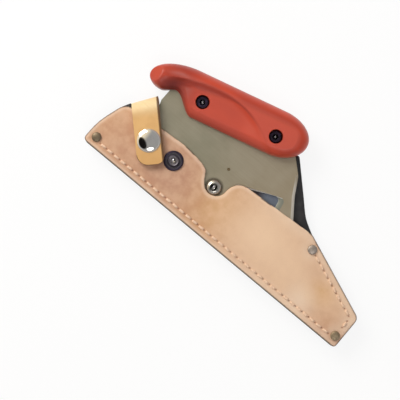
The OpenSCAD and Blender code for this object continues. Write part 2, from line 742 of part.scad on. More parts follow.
// Sloped cut along an edge from a to b, with the solid on its left
module bevel(a, b, w, d, top)
    at(a) rotate(atan2(b.y - a.y, b.x - a.x)) translate([-cut, 0, 0]) rotate([90, 0, 90])
        linear_extrude(norm(b - a) + 2 * cut)
            polygon([[-cut, top - d - cut * d / w], [w + cut, top + cut * d / w], [-cut, top + cut * d / w]]);

module body_plate() color("lightslategray") difference() {
    over = [plate_over, 0];
    sheet(plate_outline(0), plate_z, plate_t);
    sheet(window_outline(0, 0), plate_z - cut, plate_t + 2 * cut);
    hull() {
        sheet(window_outline(0, 0), plate_top - win_rim, sliver);
        sheet(window_outline(win_rim, win_bevel), plate_top, sliver);
    }
    bevel(right_end(blade_show) + over, right_end(horn_foot) + over, rim_w, rim_d, plate_top);
    bevel(right_end(horn_foot) + over, on_grip([horn_u, -horn_v]), rim_w, rim_d, plate_top);
    hole(bolt_at, bolt_d + 2 * hole_gap, plate_z - cut, plate_t + 2 * cut);
    hole(pin_at, pin_d + 2 * hole_gap, plate_z - cut, plate_t + 2 * cut);
    for (side = [-1, 1])
        hole(on_grip([side * screw_gap / 2, 0]), screw_d + 2 * hole_gap, plate_z - cut, plate_t + 2 * cut);
}

module blade() color("slategray") difference() {
    along = [cos(grip_tilt), sin(grip_tilt)];
    under_grip = on_grip([0, -grip_low - blade_drop]);
    sheet(rounded([
        [left_end(0), 0],
        [right_end(0), 0],
        [meet(right_end(0), right_end(1) - right_end(0), under_grip, along), plate_r],
        [meet(left_end(0), left_end(1) - left_end(0), under_grip, along), plate_r]]), blade_z, blade_t);
    bevel(left_end(0), right_end(0), bevel_w, blade_t - edge_land, plate_z);
    hole(bolt_at, nut_barrel_d + 2 * hole_gap, blade_z - cut, blade_t + 2 * cut);
    hole(bolt_at, nut_flange_d + 2 * seat_gap, blade_z - cut, nut_flange_t + cut);
    hole(pin_at, pin_d + 2 * hole_gap, blade_z - cut, blade_t + 2 * cut);
}

module blade_bolt() color("silver") difference() {
    union() {
        at(bolt_at, plate_top) button(bolt_head_d, bolt_head_h);
        hole(bolt_at, bolt_d, blade_z + nut_flange_t / 2, plate_top - blade_z);
    }
    hex_socket(bolt_at, bolt_hex, plate_top + bolt_head_h / 3, bolt_head_h);
}

// Flush nut whose flange lies in a recess on the blade's back
module blade_nut() color("silver") difference() {
    union() {
        hole(bolt_at, nut_flange_d, blade_z, nut_flange_t);
        hole(bolt_at, nut_barrel_d, blade_z, blade_t);
    }
    hole(bolt_at, bolt_d + 2 * hole_gap, blade_z - cut, blade_t + 2 * cut);
}

module blade_pin() color("dimgray") hole(pin_at, pin_d, blade_z, plate_top - blade_z);

// One half of the grip above the parting plane: sections along the screw line, closed at both tips
module grip_half() {
    m = scoop_steps + band_steps + 1;
    stations = concat(
        [for (a = [78:-13:0]) -hook_u - (grip_tail - hook_u) * sin(a)],
        [for (i = [1:grip_steps]) -hook_u + (grip_nose - nose_l + hook_u) * i / grip_steps],
        [for (a = [11:11:80]) grip_nose - nose_l + nose_l * sin(a)]);
    n = len(stations);
    rings = [for (u = stations) for (w = ring(u))
        let (v = (grip_hi(u) + grip_lo(u)) / 2 + w * (grip_hi(u) - grip_lo(u)) / 2)
        [u, v, cheek(u, v, w)]];
    tail = n * m;
    nose = tail + 1;
    last = tail - m;
    points = concat(rings, [[-grip_tail, tip_v, 0], [grip_nose, tip_v, 0]]);
    sides = [for (i = [0:n - 2], j = [0:m - 2])
        let (k = i * m + j)
        each [[k, k + 1, k + m], [k + 1, k + m + 1, k + m]]];
    tips = [for (j = [0:m - 2]) each [[tail, j + 1, j], [nose, last + j, last + j + 1]]];
    base = concat([[tail, 0, m - 1], [last, nose, last + m - 1]],
        [for (k = [0:m:last - m]) each [[k, k + m, k + 2 * m - 1], [k, k + 2 * m - 1, k + m - 1]]]);
    polyhedron(points, concat(sides, tips, base));
}

module in_grip() at(on_grip([0, 0]), mid_z) rotate(grip_tilt) children();

screw_z = plate_top + screw_seat;
nut_z = plate_z - screw_seat;
module at_screws() for (side = [-1, 1]) at(on_grip([side * screw_gap / 2, 0])) children();

module grip_front() color("firebrick") difference() {
    in_grip() grip_half();
    sheet(plate_outline(seat_gap), mid_z - cut, plate_t / 2 + cut);
    at_screws() {
        cylinder(d = screw_d + 2 * hole_gap, h = screw_z + cut);
        translate([0, 0, screw_z]) cylinder(d = screw_bore_d, h = grip_t);
    }
}

module grip_rear() color("firebrick") difference() {
    in_grip() mirror([0, 0, 1]) grip_half();
    sheet(plate_outline(seat_gap), plate_z, plate_t / 2 + cut);
    at_screws() {
        cylinder(d = screw_d + 2 * hole_gap, h = screw_z);
        rotate(grip_tilt) translate([0, 0, nut_z - grip_t])
            cylinder(d = (nut_af + 2 * seat_gap) / cos(30), h = grip_t, $fn = 6);
    }
}

module grip_screws() color("black") at_screws() difference() {
    union() {
        translate([0, 0, screw_z]) cylinder(d = screw_head_d, h = screw_head_h);
        translate([0, 0, nut_z - nut_h]) cylinder(d = screw_d, h = screw_z - nut_z + nut_h + cut);
    }
    translate([0, 0, screw_z + screw_head_h / 2])
        cylinder(d = screw_hex / cos(30), h = screw_head_h, $fn = 6);
}

module grip_nuts() color("black") at_screws() difference() {
    rotate(grip_tilt) translate([0, 0, nut_z - nut_h]) cylinder(d = nut_af / cos(30), h = nut_h, $fn = 6);
    cylinder(d = screw_d + 2 * hole_gap, h = grip_t);
}

front_panel();
back_panel();
edge_welt();
seam_thread();
rivet_caps();
rivet_posts();
snap_stud();
stud_post();
belt_loop();
loop_rivets();
strap_root();
strap_rivets();
strap_flap();
snap_cap();
snap_socket();
body_plate();
blade();
blade_bolt();
blade_nut();
blade_pin();
grip_front();
grip_rear();
grip_screws();
grip_nuts();
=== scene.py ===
"""Pull knife with a moulded grip in a stitched leather sheath: its visible pieces, finishes and studio."""
import json
from math import atan2, cos, pi, radians, sin, sqrt, tan

import bpy
from mathutils import Matrix, Vector, kdtree, noise


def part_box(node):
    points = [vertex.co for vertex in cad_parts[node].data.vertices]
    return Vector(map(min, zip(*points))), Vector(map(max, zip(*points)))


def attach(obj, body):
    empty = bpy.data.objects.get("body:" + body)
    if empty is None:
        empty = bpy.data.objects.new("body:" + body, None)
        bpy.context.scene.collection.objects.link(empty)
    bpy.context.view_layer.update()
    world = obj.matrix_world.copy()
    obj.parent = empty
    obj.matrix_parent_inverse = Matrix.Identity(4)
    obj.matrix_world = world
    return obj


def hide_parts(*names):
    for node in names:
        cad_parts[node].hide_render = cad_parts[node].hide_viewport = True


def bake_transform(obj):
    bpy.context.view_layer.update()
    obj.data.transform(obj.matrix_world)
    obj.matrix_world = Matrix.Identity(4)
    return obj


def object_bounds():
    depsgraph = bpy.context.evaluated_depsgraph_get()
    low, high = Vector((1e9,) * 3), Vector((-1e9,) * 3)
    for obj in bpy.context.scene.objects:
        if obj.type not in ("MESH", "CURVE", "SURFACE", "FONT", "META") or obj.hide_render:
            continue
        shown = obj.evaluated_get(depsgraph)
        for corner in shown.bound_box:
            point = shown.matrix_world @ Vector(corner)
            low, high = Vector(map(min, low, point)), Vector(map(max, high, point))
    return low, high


bl_info = {
    "name": "Pull Knife in Sheath",
    "version": (1, 0, 0),
    "blender": (4, 5, 0),
    "location": "View3D > Sidebar > Pull Knife",
    "description": "Dresses the packed pull knife and its leather sheath",
    "category": "Object",
}

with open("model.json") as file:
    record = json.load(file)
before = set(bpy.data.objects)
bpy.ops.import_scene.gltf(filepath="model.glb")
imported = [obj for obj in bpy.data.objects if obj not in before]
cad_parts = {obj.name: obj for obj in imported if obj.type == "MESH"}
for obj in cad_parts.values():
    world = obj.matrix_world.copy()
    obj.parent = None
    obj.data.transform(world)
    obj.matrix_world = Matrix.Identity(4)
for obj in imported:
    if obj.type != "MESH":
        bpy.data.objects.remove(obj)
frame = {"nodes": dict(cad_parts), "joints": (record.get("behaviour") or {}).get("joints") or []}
CAD_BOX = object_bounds()
MM = 0.001

# Fasteners: radius of the shanks, height of the screws' heads, sockets across flats
RIVET_SHANK = 1.5 * MM
BOLT_SHANK = 3 * MM
SCREW_SHANK = 2.5 * MM
SCREW_HEAD = 5 * MM
BOLT_FLATS = 4.8 * MM
SCREW_FLATS = 4 * MM

# Directions seen from above
GRIP_TILT = radians(-14.5)
STRAP_TILT = radians(44.5)
OFF_THE_MOUTH = Vector((-0.77, -0.64))


# Properties

def number(name, description, default, **kind):
    """A number with its unit or subtype."""
    return bpy.props.FloatProperty(name=name, description=description, default=default, **kind)


def length(name, description, millimetres):
    """A size in the scene's metres, given in millimetres."""
    return number(name, description, millimetres * MM, unit="LENGTH", precision=5)


def turn(name, description, degrees):
    """An angle, given in degrees."""
    return number(name, description, radians(degrees), subtype="ANGLE")


def linear(channel):
    """One display channel from 0 to 255 as linear light."""
    c = channel / 255
    return c / 12.92 if c <= 0.04045 else ((c + 0.055) / 1.055) ** 2.4


def colour(name, description, *channels):
    """A colour, given as display values from 0 to 255."""
    return bpy.props.FloatVectorProperty(
        name=name, description=description, subtype="COLOR", size=3, min=0, max=1,
        default=tuple(map(linear, channels)))


class GripForm(bpy.types.PropertyGroup):
    """Sizes of the moulded grip, measured from the middle between its screws."""

    top: length("Top", "Upper edge above the screw line", 19.7)
    low: length("Low", "Lower edge below the screw line", 12.9)
    nose: length("Nose", "Right end from the middle", 51.5)
    tail: length("Tail", "Left end from the middle", 70.4)
    nose_run: length("Nose run", "Length of the rounded right end", 23.5)
    tail_run: length("Tail run", "Length of the sloping left end", 32.4)
    hook: length("Hook", "Lowest point of the hook from the middle", 58.8)
    hook_low: length("Hook low", "Hook's lowest point below the screw line", 3.8)
    notch: length("Notch", "Notch behind the hook from the middle", 48.5)
    belly: length("Belly", "Where the belly reaches the lower edge", 31.5)
    tip: length("Tip", "Height of both tips above the screw line", 4.2)
    crown_over: length("Crown", "How much fuller the crown is than the flats", 1.3)
    hook_thin: number("Hook thinning", "Thinning of the hook as a share of the grip", 0.22)
    square: number("Squareness", "Power of the section's rounded shoulders", 2.4)
    square_low: number("Lower squareness", "Power of the section's lower shoulder", 3.2)
    hook_ridge: length("Hook ridge", "Ridge across the hook's end from the middle", 62.5)
    hook_slope: number("Hook slope", "Fall of the facet beyond the hook's ridge", 0.85)
    ridge_back: length("Ridge crest", "Highest place of the ridge line left of the middle", 24)
    ridge_high: length("Ridge height", "Ridge line above the screw line at its crest", 12.6)
    ridge_left: length("Ridge left run", "Run of the ridge line to the left of its crest", 40)
    ridge_left_drop: length("Ridge left drop", "Fall of the ridge line over its left run", 8.5)
    ridge_right: length("Ridge right run", "Run of the ridge line to the right of its crest", 56)
    ridge_right_drop: length("Ridge right drop", "Fall of the ridge line over its right run", 26.5)
    scoop_depth: length("Scoop depth", "Depth of the finger scoop below the ridge line", 2.3)
    fade_from: length("Fade from", "Where the scoop starts to run out, from the middle", 2)
    fade_run: length("Fade run", "How far the scoop takes to run out", 18)
    scoop_wall: length("Scoop wall", "Width of the scoop's wall below the ridge line", 5.5)
    neck_depth: length("Neck depth", "Further hollow at the neck of the hook", 1.8)
    neck: length("Neck", "Deepest place of the neck's hollow from the middle", 49)
    neck_run: length("Neck run", "Half length of the neck's hollow", 14)
    scoop_from: length("Scoop start", "Height above the parting plane where the scoop starts", 2.6)
    scoop_run: length("Scoop run", "Height over which the scoop comes to its depth", 6.6)
    bore: length("Counterbore", "Diameter of the counterbores", 10)
    nut_pocket: length("Nut pocket", "Nut pocket across flats", 8.4)


class LeatherLook(bpy.types.PropertyGroup):
    """Colours and fine sizes of the sheath."""

    tan: colour("Tan", "Front leather", 204, 156, 121)
    # Pale tan: random mottling, and the pale painted pools of light on the front panel
    tan_light: colour("Pale tan", "Pale patches of the front leather", 240, 206, 173)
    # Deep tan: random patches, and the painted shade at the front panel's left
    tan_deep: colour("Deep tan", "Rosy brown patches of the front leather", 186, 139, 115)
    tan_gold: colour("Golden tan", "Golden patches of the front leather", 216, 168, 114)
    # Painted highlight along the front panel's edges and mouth, and in some pale painted pools of light
    tan_lip_highlight: colour("Tan lip", "Pressed lip along the front leather's edges", 246, 222, 198)
    cut_edge: colour("Cut edge", "Burnished cut edge", 84, 72, 64)
    black: colour("Black", "Back leather", 40, 39, 41)
    black_light: colour("Worn black", "Scuffs of the back leather", 78, 75, 76)
    strap: colour("Strap", "Strap leather", 228, 181, 119)
    # Painted highlight at the strap's fold
    strap_fold_highlight: colour("Pale strap", "Stretched leather at the strap's fold", 238, 213, 165)
    strap_deep: colour("Deep strap", "Darker leather at the strap's end", 206, 156, 94)
    # Also the painted shade along the strap's right side
    strap_edge_and_shade: colour("Strap edge", "Cut edge of the strap", 98, 66, 34)
    fold_skew: turn("Fold skew", "Skew of the strap's fold", 10)
    fold_out: length("Fold out", "How far the fold stands out", 0.6)
    # The right side's darkening is painted shade
    strap_side: length("Strap side", "Width over which the strap's right side darkens", 3.8)
    round_left: length("Left corner", "Radius of the strap's left end corner", 8)
    round_right: length("Right corner", "Radius of the strap's right end corner", 5)
    thread: colour("Thread", "Waxed sewing thread", 246, 210, 180)
    # Painted shade in the awl holes and where the thread dips into them
    awl_hole_shade: colour("Awl hole", "Dark hole between two stitches", 136, 76, 52)
    grid: length("Grid", "Grid of the leather's surface", 0.8)
    front_grow: length("Front growth", "Spread of the front panel's pressed edge", 0.5)
    back_grow: length("Back growth", "Spread of the back panel's edge beyond the front", 1)
    corner_left: length("Corner left", "Mouth's worn corner left of the bolt", 9.6)
    corner_up: length("Corner up", "Mouth's worn corner above the bolt", 5.2)
    corner_reach: length("Corner reach", "How far the mouth's worn corner reaches", 8)
    corner_blunt: length("Corner blunting", "How far the mouth's corner is worn back", 2.6)
    ear_right: length("Ear right", "Back panel's hollow edge right of the bolt", 64.5)
    ear_up: length("Ear up", "Back panel's hollow edge above the bolt", 23.5)
    ear_reach: length("Ear reach", "How far the back panel's hollow edge reaches", 15)
    ear_hollow: length("Ear hollow", "Depth of the hollow in the back panel's edge", 1.5)
    dent: length("Dent", "Depth of the dents at stitches and rivets", 0.35)
    ripple: length("Ripple", "Height of the leather's slow waves", 0.16)


class HardLook(bpy.types.PropertyGroup):
    """Colours and fine sizes of the metal and the plastic."""

    grip: colour("Grip", "Moulded grip", 197, 69, 43)
    grip_deep: colour("Deep grip", "Darker flow marks of the grip", 170, 57, 41)
    grip_palm: colour("Worn grip", "Pale worn flats and scoop of the grip", 200, 94, 80)
    # Painted shade: maroon in the neck of the hook, along the parting line, the crease below the ridge, the
    # upper band and the hook
    grip_neck_shade: colour("Grip neck", "Maroon cast in the neck of the hook", 108, 32, 29)
    plate: colour("Plate", "Blasted steel plate", 158, 145, 122)
    plate_green: colour("Green plate", "Greenish steel at the plate's left", 144, 140, 120)
    plate_light: colour("Worn plate", "Rubbed steel", 180, 170, 150)
    # Painted highlight on the plate's steep edges and on its slopes that face +X
    plate_edge_highlight: colour("Plate edge", "Bright bevels and rims of the plate", 236, 233, 228)
    # Painted shade on the plate's slopes that face -X
    plate_slope_shade: colour("Dull slope", "Sloping side of the plate's window", 118, 128, 122)
    blade: colour("Blade", "Blued blade", 116, 124, 138)
    # Random brown cast, and the painted shadow at the left of the plate's window
    blade_brown: colour("Brown blade", "Brown cast of the blade", 62, 48, 46)
    rivet: colour("Rivet", "Dull rivets", 160, 142, 116)
    nickel: colour("Nickel", "Plated snap parts", 238, 234, 226)
    steel: colour("Steel", "Plain steel bolt", 196, 190, 180)
    black: colour("Black oxide", "Blackened steel", 39, 30, 47)
    pin: colour("Pin", "Browned locating pin", 122, 106, 82)
    edge: length("Edge", "Rounding of steel edges", 0.6)


class StageLook(bpy.types.PropertyGroup):
    """Camera, light and floor."""

    view_turn: turn("View turn", "Turn of the picture about the view's axis", 39.8)
    centre_x: length("Centre X", "Middle of the picture along X", -4.7)
    centre_y: length("Centre Y", "Middle of the picture along Y", -17)
    width: length("Width", "Width that the picture shows", 280)
    distance: length("Distance", "Camera above the sheath's front", 900)
    key: number("Key", "Power of the soft light from the upper left", 5.3, unit="POWER")
    horizon: colour("Horizon", "Room near the floor", 190, 191, 193)
    zenith: colour("Zenith", "Room overhead", 158, 158, 160)
    bright_wall: colour("Bright wall", "Lit wall at the upper left", 250, 238, 212)
    window: number("Window", "Brightness of the small window below the picture", 5)
    dark_corner: colour("Dark corner", "Unlit corner of the room", 22, 20, 20)
    floor: colour("Floor", "Pale floor", 252, 252, 252)
    floor_white: number("Floor white", "Share of plain white in the floor that the camera sees", 0.86)


class PullKnifeSettings(bpy.types.PropertyGroup):
    """All settings of the scene."""

    grip: bpy.props.PointerProperty(type=GripForm)
    leather: bpy.props.PointerProperty(type=LeatherLook)
    hard: bpy.props.PointerProperty(type=HardLook)
    stage: bpy.props.PointerProperty(type=StageLook)


# Modelling helpers

def pick(*objects):
    """Selects these objects alone and makes the first one active."""
    if bpy.context.mode != "OBJECT":
        bpy.ops.object.mode_set(mode="OBJECT")
    bpy.ops.object.select_all(action="DESELECT")
    for obj in objects:
        obj.select_set(True)
    bpy.context.view_layer.objects.active = objects[0]


def discard(*objects):
    """Deletes helper objects."""
    for obj in objects:
        bpy.data.objects.remove(obj)


def edit_all(obj, *steps):
    """Runs edit-mode operators, given as (operator, settings), with the whole mesh selected."""
    pick(obj)
    bpy.ops.object.mode_set(mode="EDIT")
    for operator, settings in steps:
        bpy.ops.mesh.select_all(action="SELECT")
        operator(**settings)
    bpy.ops.object.mode_set(mode="OBJECT")


def new_object(name, mesh):
    """A new object in the scene for a mesh."""
    obj = bpy.data.objects.new(name, mesh)
    bpy.context.scene.collection.objects.link(obj)
    return obj


def added(operator, **settings):
    """A new primitive whose points take up its place and turn."""
    bpy.ops.object.select_all(action="DESELECT")
    operator(**settings)
    bpy.ops.object.transform_apply(location=True, rotation=True, scale=True)
    return bpy.context.active_object


def copy_of(node, name):
    """A copy of a CAD node with its loose triangles merged into clean faces."""
    obj = new_object(name, frame["nodes"][node].data.copy())
    obj.data.materials.clear()
    pick(obj)
    bpy.ops.mesh.customdata_custom_splitnormals_clear()
    edit_all(
        obj,
        (bpy.ops.mesh.remove_doubles, {"threshold": 0.001 * MM}),
        (bpy.ops.mesh.dissolve_limited, {"angle_limit": radians(0.4)}))
    return obj


def apply_modifier(obj, kind, **settings):
    """Adds a modifier with these settings and applies it."""
    pick(obj)
    modifier = obj.modifiers.new(kind, kind)
    for key, value in settings.items():
        setattr(modifier, key, value)
    bpy.ops.object.modifier_apply(modifier=modifier.name)


def round_edges(obj, width, segments=2, angle=40):
    """Rounds the edges that turn more than the angle."""
    apply_modifier(
        obj, "BEVEL", width=width, segments=segments, limit_method="ANGLE", angle_limit=radians(angle))


def carve(obj, *cutters):
    """Cuts helper solids out of a piece and deletes them."""
    for cutter in cutters:
        apply_modifier(obj, "BOOLEAN", object=cutter, operation="DIFFERENCE", solver="EXACT")
    discard(*cutters)


def joined(name, objects):
    """Joins objects into one of that name."""
    pick(*objects)
    bpy.ops.object.join()
    objects[0].name = name
    return objects[0]


def turned(name, profile, place, steps=48):
    """A round piece: a profile of (radius, height) points spun about an upright axis at a place."""
    mesh = bpy.data.meshes.new(name)
    points = [Vector(place) + Vector((r, 0, h)) for r, h in profile]
    mesh.from_pydata(points, [(i, i + 1) for i in range(len(points) - 1)], [])
    obj = new_object(name, mesh)
    edit_all(
        obj,
        (bpy.ops.mesh.spin, {"steps": steps, "angle": 2 * pi, "center": place, "axis": (0, 0, 1)}),
        (bpy.ops.mesh.remove_doubles, {"threshold": 0.002 * MM}),
        (bpy.ops.mesh.normals_make_consistent, {"inside": False}))
    return obj


def shank(centre, radius, low, high, steps=32):
    """A plain upright rod."""
    tall = high - low
    return turned("shank", [(0, 0), (radius, 0), (radius, tall), (0, tall)], (*centre.xy, low), steps)


def prism(sides, radius, low, high, place, spin=0.0):
    """An upright prism or cylinder used as a cutter."""
    return added(
        bpy.ops.mesh.primitive_cylinder_add, vertices=sides, radius=radius, depth=high - low,
        rotation=(0, 0, spin), location=(place[0], place[1], (low + high) / 2))


def solids(node):
    """Lowest corner, highest corner and points of each separate solid in a CAD node, from left to right."""
    obj = copy_of(node, "loose_" + node)
    edit_all(obj, (bpy.ops.mesh.separate, {"type": "LOOSE"}))
    found = []
    for part in list(bpy.context.selected_objects):
        points = [v.co.copy() for v in part.data.vertices]
        low = Vector(min(p[i] for p in points) for i in range(3))
        high = Vector(max(p[i] for p in points) for i in range(3))
        found.append((low, high, points))
        discard(part)
    return sorted(found, key=lambda item: (round(item[0].x, 5), round(item[0].y, 5), item[0].z))


def middle(low, high):
    """Point halfway between two corners."""
    return (low + high) / 2


def settle(obj, body, finish, node, angle=35):
    """Gives a finished piece its material, shading and body, and hides the CAD node that it stands for."""
    obj.data.materials.clear()
    obj.data.materials.append(finish)
    pick(obj)
    bpy.ops.object.shade_smooth_by_angle(angle=radians(angle))
    apply_modifier(obj, "WEIGHTED_NORMAL", keep_sharp=True, weight=100)
    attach(obj, body)
    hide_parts(node)


def ease(t):
    """Smooth step from 0 to 1."""
    t = min(1.0, max(0.0, t))
    return t * t * (3 - 2 * t)


def near(distance, reach):
    """One at a place, falling smoothly to nothing at the reach."""
    return 1 - ease(distance / reach)


def mark(obj, domain="POINT", **layers):
    """Stores named lists of numbers, one number per point or face, for the finish to read."""
    for name, values in layers.items():
        obj.data.attributes.new(name, "FLOAT", domain).data.foreach_set("value", values)


def search_tree(points):
    """A function that tells how far a place is from the nearest of some points, seen from above."""
    tree = kdtree.KDTree(len(points))
    for i, p in enumerate(points):
        tree.insert((p[0], p[1], 0), i)
    tree.balance()
    return lambda co: tree.find((co.x, co.y, 0))[2]


def rim_points(obj, step):
    """Places along the upright walls of a merged CAD copy."""
    points = []
    mesh = obj.data
    for face in mesh.polygons:
        if abs(face.normal.z) > 0.1:
            continue
        for a, b in face.edge_keys:
            p, q = mesh.vertices[a].co, mesh.vertices[b].co
            if abs(p.z - q.z) < 0.01 * MM:
                count = max(1, int((q - p).length / step))
                points += [p.lerp(q, i / count) for i in range(count + 1)]
    return points


# Finishes

# Tints for the marked painted sheen, glints and wear, and for the marked painted shade and darker tones
SHEEN_AND_WEAR_TINT = [linear(c) for c in (196, 190, 192)]
SHADE_AND_GRIME_TINT = [linear(c) for c in (26, 22, 22)]


def scaled(tint, factor):
    """A darker or lighter colour."""
    return [factor * c for c in tint]


class Value:
    """A shader value that Python's operators turn into Math nodes."""

    def __init__(self, finish, socket):
        self.finish = finish
        self.socket = socket

    def math(self, operation, first, second):
        """One Math node on two values or numbers."""
        return self.finish.node("Math", {"operation": operation}, {0: first, 1: second})

    def __add__(self, other):
        return self.math("ADD", self, other)

    def __sub__(self, other):
        return self.math("SUBTRACT", self, other)

    def __rsub__(self, other):
        return self.math("SUBTRACT", other, self)

    def __mul__(self, other):
        return self.math("MULTIPLY", self, other)

    __radd__ = __add__
    __rmul__ = __mul__


class Nodes:
    """A node tree and the nodes added to it."""

    def __init__(self, owner):
        owner.use_nodes = True
        self.tree = owner.node_tree

    def node(self, kind, settings=None, inputs=None, output=0):
        """Adds a shader node, its settings first, then its sockets' values or links."""
        node = self.tree.nodes.new("ShaderNode" + kind)
        for key, value in (settings or {}).items():
            setattr(node, key, value)
        self.feed(node, inputs or {})
        return Value(self, node.outputs[output])

    def feed(self, node, inputs):
        """Links or sets a node's sockets by name or number."""
        for key, value in inputs.items():
            if isinstance(value, Value):
                self.tree.links.new(value.socket, node.inputs[key])
            else:
                node.inputs[key].default_value = value

    def levels(self, value, low, high):
        """Stretches a range of values to run from 0 to 1."""
        return self.node("MapRange", {"interpolation_type": "SMOOTHSTEP"}, {
            "Value": value, "From Min": low, "From Max": high})

    def opaque(self, tint):
        """A colour setting with its fourth channel."""
        return tint if isinstance(tint, Value) else (*tint, 1)

    def layers(self, tone, *coats):
        """Lays coats, given as (share, colour), one over another on a first colour."""
        for share, tint in coats:
            tone = self.node("Mix", {"data_type": "RGBA"}, {
                0: share, 6: self.opaque(tone), 7: self.opaque(tint)}, output=2)
        return tone

    def rays(self, *kinds):
        """One where a ray is of any of these kinds."""
        path = self.tree.nodes.new("ShaderNodeLightPath")
        found = [Value(self, path.outputs[f"Is {kind} Ray"]) for kind in kinds]
        total = found[0]
        for value in found[1:]:
            total = total.math("MAXIMUM", total, value)
        return total

    def output(self, kind, factor, first, second):
        """Mixes two shaders into the tree's output."""
        mixed = self.node("MixShader", None, {0: factor, 1: first, 2: second})
        self.feed(self.tree.nodes[kind], {0: mixed})


class Finish(Nodes):
    """One material and the patterns that feed its shader."""

    def __init__(self, name):
        self.material = bpy.data.materials.new(name)
        super().__init__(self.material)
        self.shader = self.tree.nodes["Principled BSDF"]

    def place(self, scale=(1, 1, 1), spin=0.0):
        """Object coordinates, turned about Z and stretched."""
        coordinates = self.node("TexCoord", output=3)
        return self.node(
            "Mapping", None, {"Vector": coordinates, "Rotation": (0, 0, spin), "Scale": scale})

    def noise(self, place, size, detail=3.0, roughness=0.5):
        """Soft noise whose patches are about one size across."""
        return self.node("TexNoise", None, {
            "Vector": place, "Scale": 1 / size, "Detail": detail, "Roughness": roughness})

    def patches(self, place, size, low, high, detail=3.0, roughness=0.5):
        """Soft noise with a range of its values stretched to run from 0 to 1."""
        return self.levels(self.noise(place, size, detail, roughness), low, high)

    def cells(self, place, size):
        """Distance pattern of cells about one size across."""
        return self.node("TexVoronoi", None, {"Vector": place, "Scale": 1 / size})

    def attribute(self, name):
        """Number stored on the piece's points or faces."""
        return self.node("Attribute", {"attribute_name": name}, output=2)

    def along(self, place, axis):
        """One of the three coordinates."""
        return self.node("SeparateXYZ", None, {0: place}, output=axis)

    def spot(self, place, centre, inner, outer):
        """One up to the inner distance from a centre seen from above, nothing from the outer one."""
        flat = self.node("VectorMath", {"operation": "MULTIPLY"}, {0: place, 1: (1, 1, 0)})
        away = self.node("VectorMath", {"operation": "DISTANCE"}, {0: flat, 1: (*centre, 0)}, output=1)
        return 1 - self.levels(away, inner, outer)

    def bump(self, height, depth, strength):
        """Relief of a height pattern, given its depth."""
        return self.node("Bump", None, {"Height": height, "Distance": depth, "Strength": strength})

    def done(self, base_color, **inputs):
        """Sets the shader's sockets and returns the material."""
        self.feed(self.shader, {"Base Color": self.opaque(base_color)})
        self.feed(self.shader, {
            key.replace("_", " ").title().replace("Ior", "IOR"): value for key, value in inputs.items()})
        return self.material


def leather(name, tones, roughness, pore=0.55 * MM, spots=()):
    """Leather with slow patches, spots given per panel, mottling and pores, a painted highlight on its lips,
    burnished cut edges and painted shade in its awl holes.
    """
    body, light, deep, lip, edge, hole = tones
    finish = Finish(name)
    place = finish.place()
    patches = finish.patches(place, 55 * MM, 0.36, 0.66, detail=1)
    mottle = finish.patches(place, 8 * MM, 0.3, 0.72, detail=4, roughness=0.6)
    fibre = finish.noise(place, 0.9 * MM, detail=4, roughness=0.65)
    pores = finish.cells(place, pore)
    rim = finish.attribute("rim")
    toned = finish.layers(
        body,
        (patches * 0.4, deep),
        # Spots given per panel: tints, painted pools of light and painted shade
        *((finish.spot(place, centre, 0, reach) * share, tint) for centre, reach, share, tint in spots),
        (mottle * 0.34, light),
        (finish.levels(fibre, 0.52, 0.8) * 0.16, deep),
        # Painted highlight on the lips
        (finish.attribute("lip") * 0.6, lip),
        (finish.levels(rim + (fibre - 0.5) * 0.4, 0.3, 0.95) * 0.9, edge),
        # Painted shade in the awl holes
        (finish.attribute("hole"), hole))
    return finish.done(
        toned, roughness=roughness + mottle * 0.12 - rim * 0.1, specular_ior_level=0.35,
        normal=finish.bump(pores * 0.6 + fibre * 0.4, depth=0.09 * MM, strength=0.5))


def front_leather(look):
    """Vegetable-tanned front panel with golden spots, pale painted pools of light right of the bolt, and
    painted shade between the stud and the bolt and further left.
    """
    tones = (look.tan, look.tan_light, look.tan_deep, look.tan_lip_highlight, look.cut_edge, look.awl_hole_shade)
    # Golden tint spots, pale painted pools of light, and painted shade at the left
    spots = [((x * MM, y * MM), reach * MM, share, tint) for x, y, reach, share, tint in (
        (8, -14, 38, 0.6, look.tan_gold), (45, -8, 50, 0.9, look.tan_light),
        (80, -16, 45, 0.7, look.tan_light), (114, -10, 22, 0.5, look.tan_light),
        (102, -13, 15, 0.6, look.tan_gold), (94, -26, 18, 0.6, look.tan_lip_highlight),
        (130, -16, 14, 0.4, look.tan_lip_highlight),
        (-35, -14, 48, 0.85, look.tan_deep), (-70, -25, 30, 0.4, look.tan_deep))]
    return leather("front_leather", tones, roughness=0.56, spots=spots)


def black_leather(look):
    """Black back panel and belt loop."""
    tones = (look.black, look.black_light, *[look.black] * 4)
    return leather("black_leather", tones, roughness=0.5, pore=0.8 * MM)


def strap_leather(look):
    """Waxed strap with a painted highlight and fine creases where it folds, and painted shade along its
    right side.
    """
    finish = Finish("strap_leather")
    place = finish.place()
    along = finish.attribute("fold")
    mottle = finish.patches(place, 9 * MM, 0.3, 0.7, detail=4, roughness=0.6)
    fibre = finish.noise(place, 0.7 * MM, detail=4, roughness=0.6)
    creases = finish.noise(finish.place((1, 5, 1), STRAP_TILT), 4 * MM)
    toned = finish.layers(
        look.strap,
        (mottle * 0.4, look.strap_deep),
        (finish.attribute("end") * 0.6, look.strap_deep),
        # Painted highlight at the fold, broken up by the creases
        (along * (0.65 + 0.6 * creases), look.strap_fold_highlight),
        # Dark cut edges, and painted shade along the right side
        (finish.levels(finish.attribute("rim") + (fibre - 0.5) * 0.15, 0.5, 0.85), look.strap_edge_and_shade))
    relief = fibre * 0.4 + finish.cells(place, 0.5 * MM) * 0.4 + creases * along * 2
    return finish.done(
        toned, roughness=0.4 + mottle * 0.14, specular_ior_level=0.45,
        normal=finish.bump(relief, depth=0.08 * MM, strength=0.5))


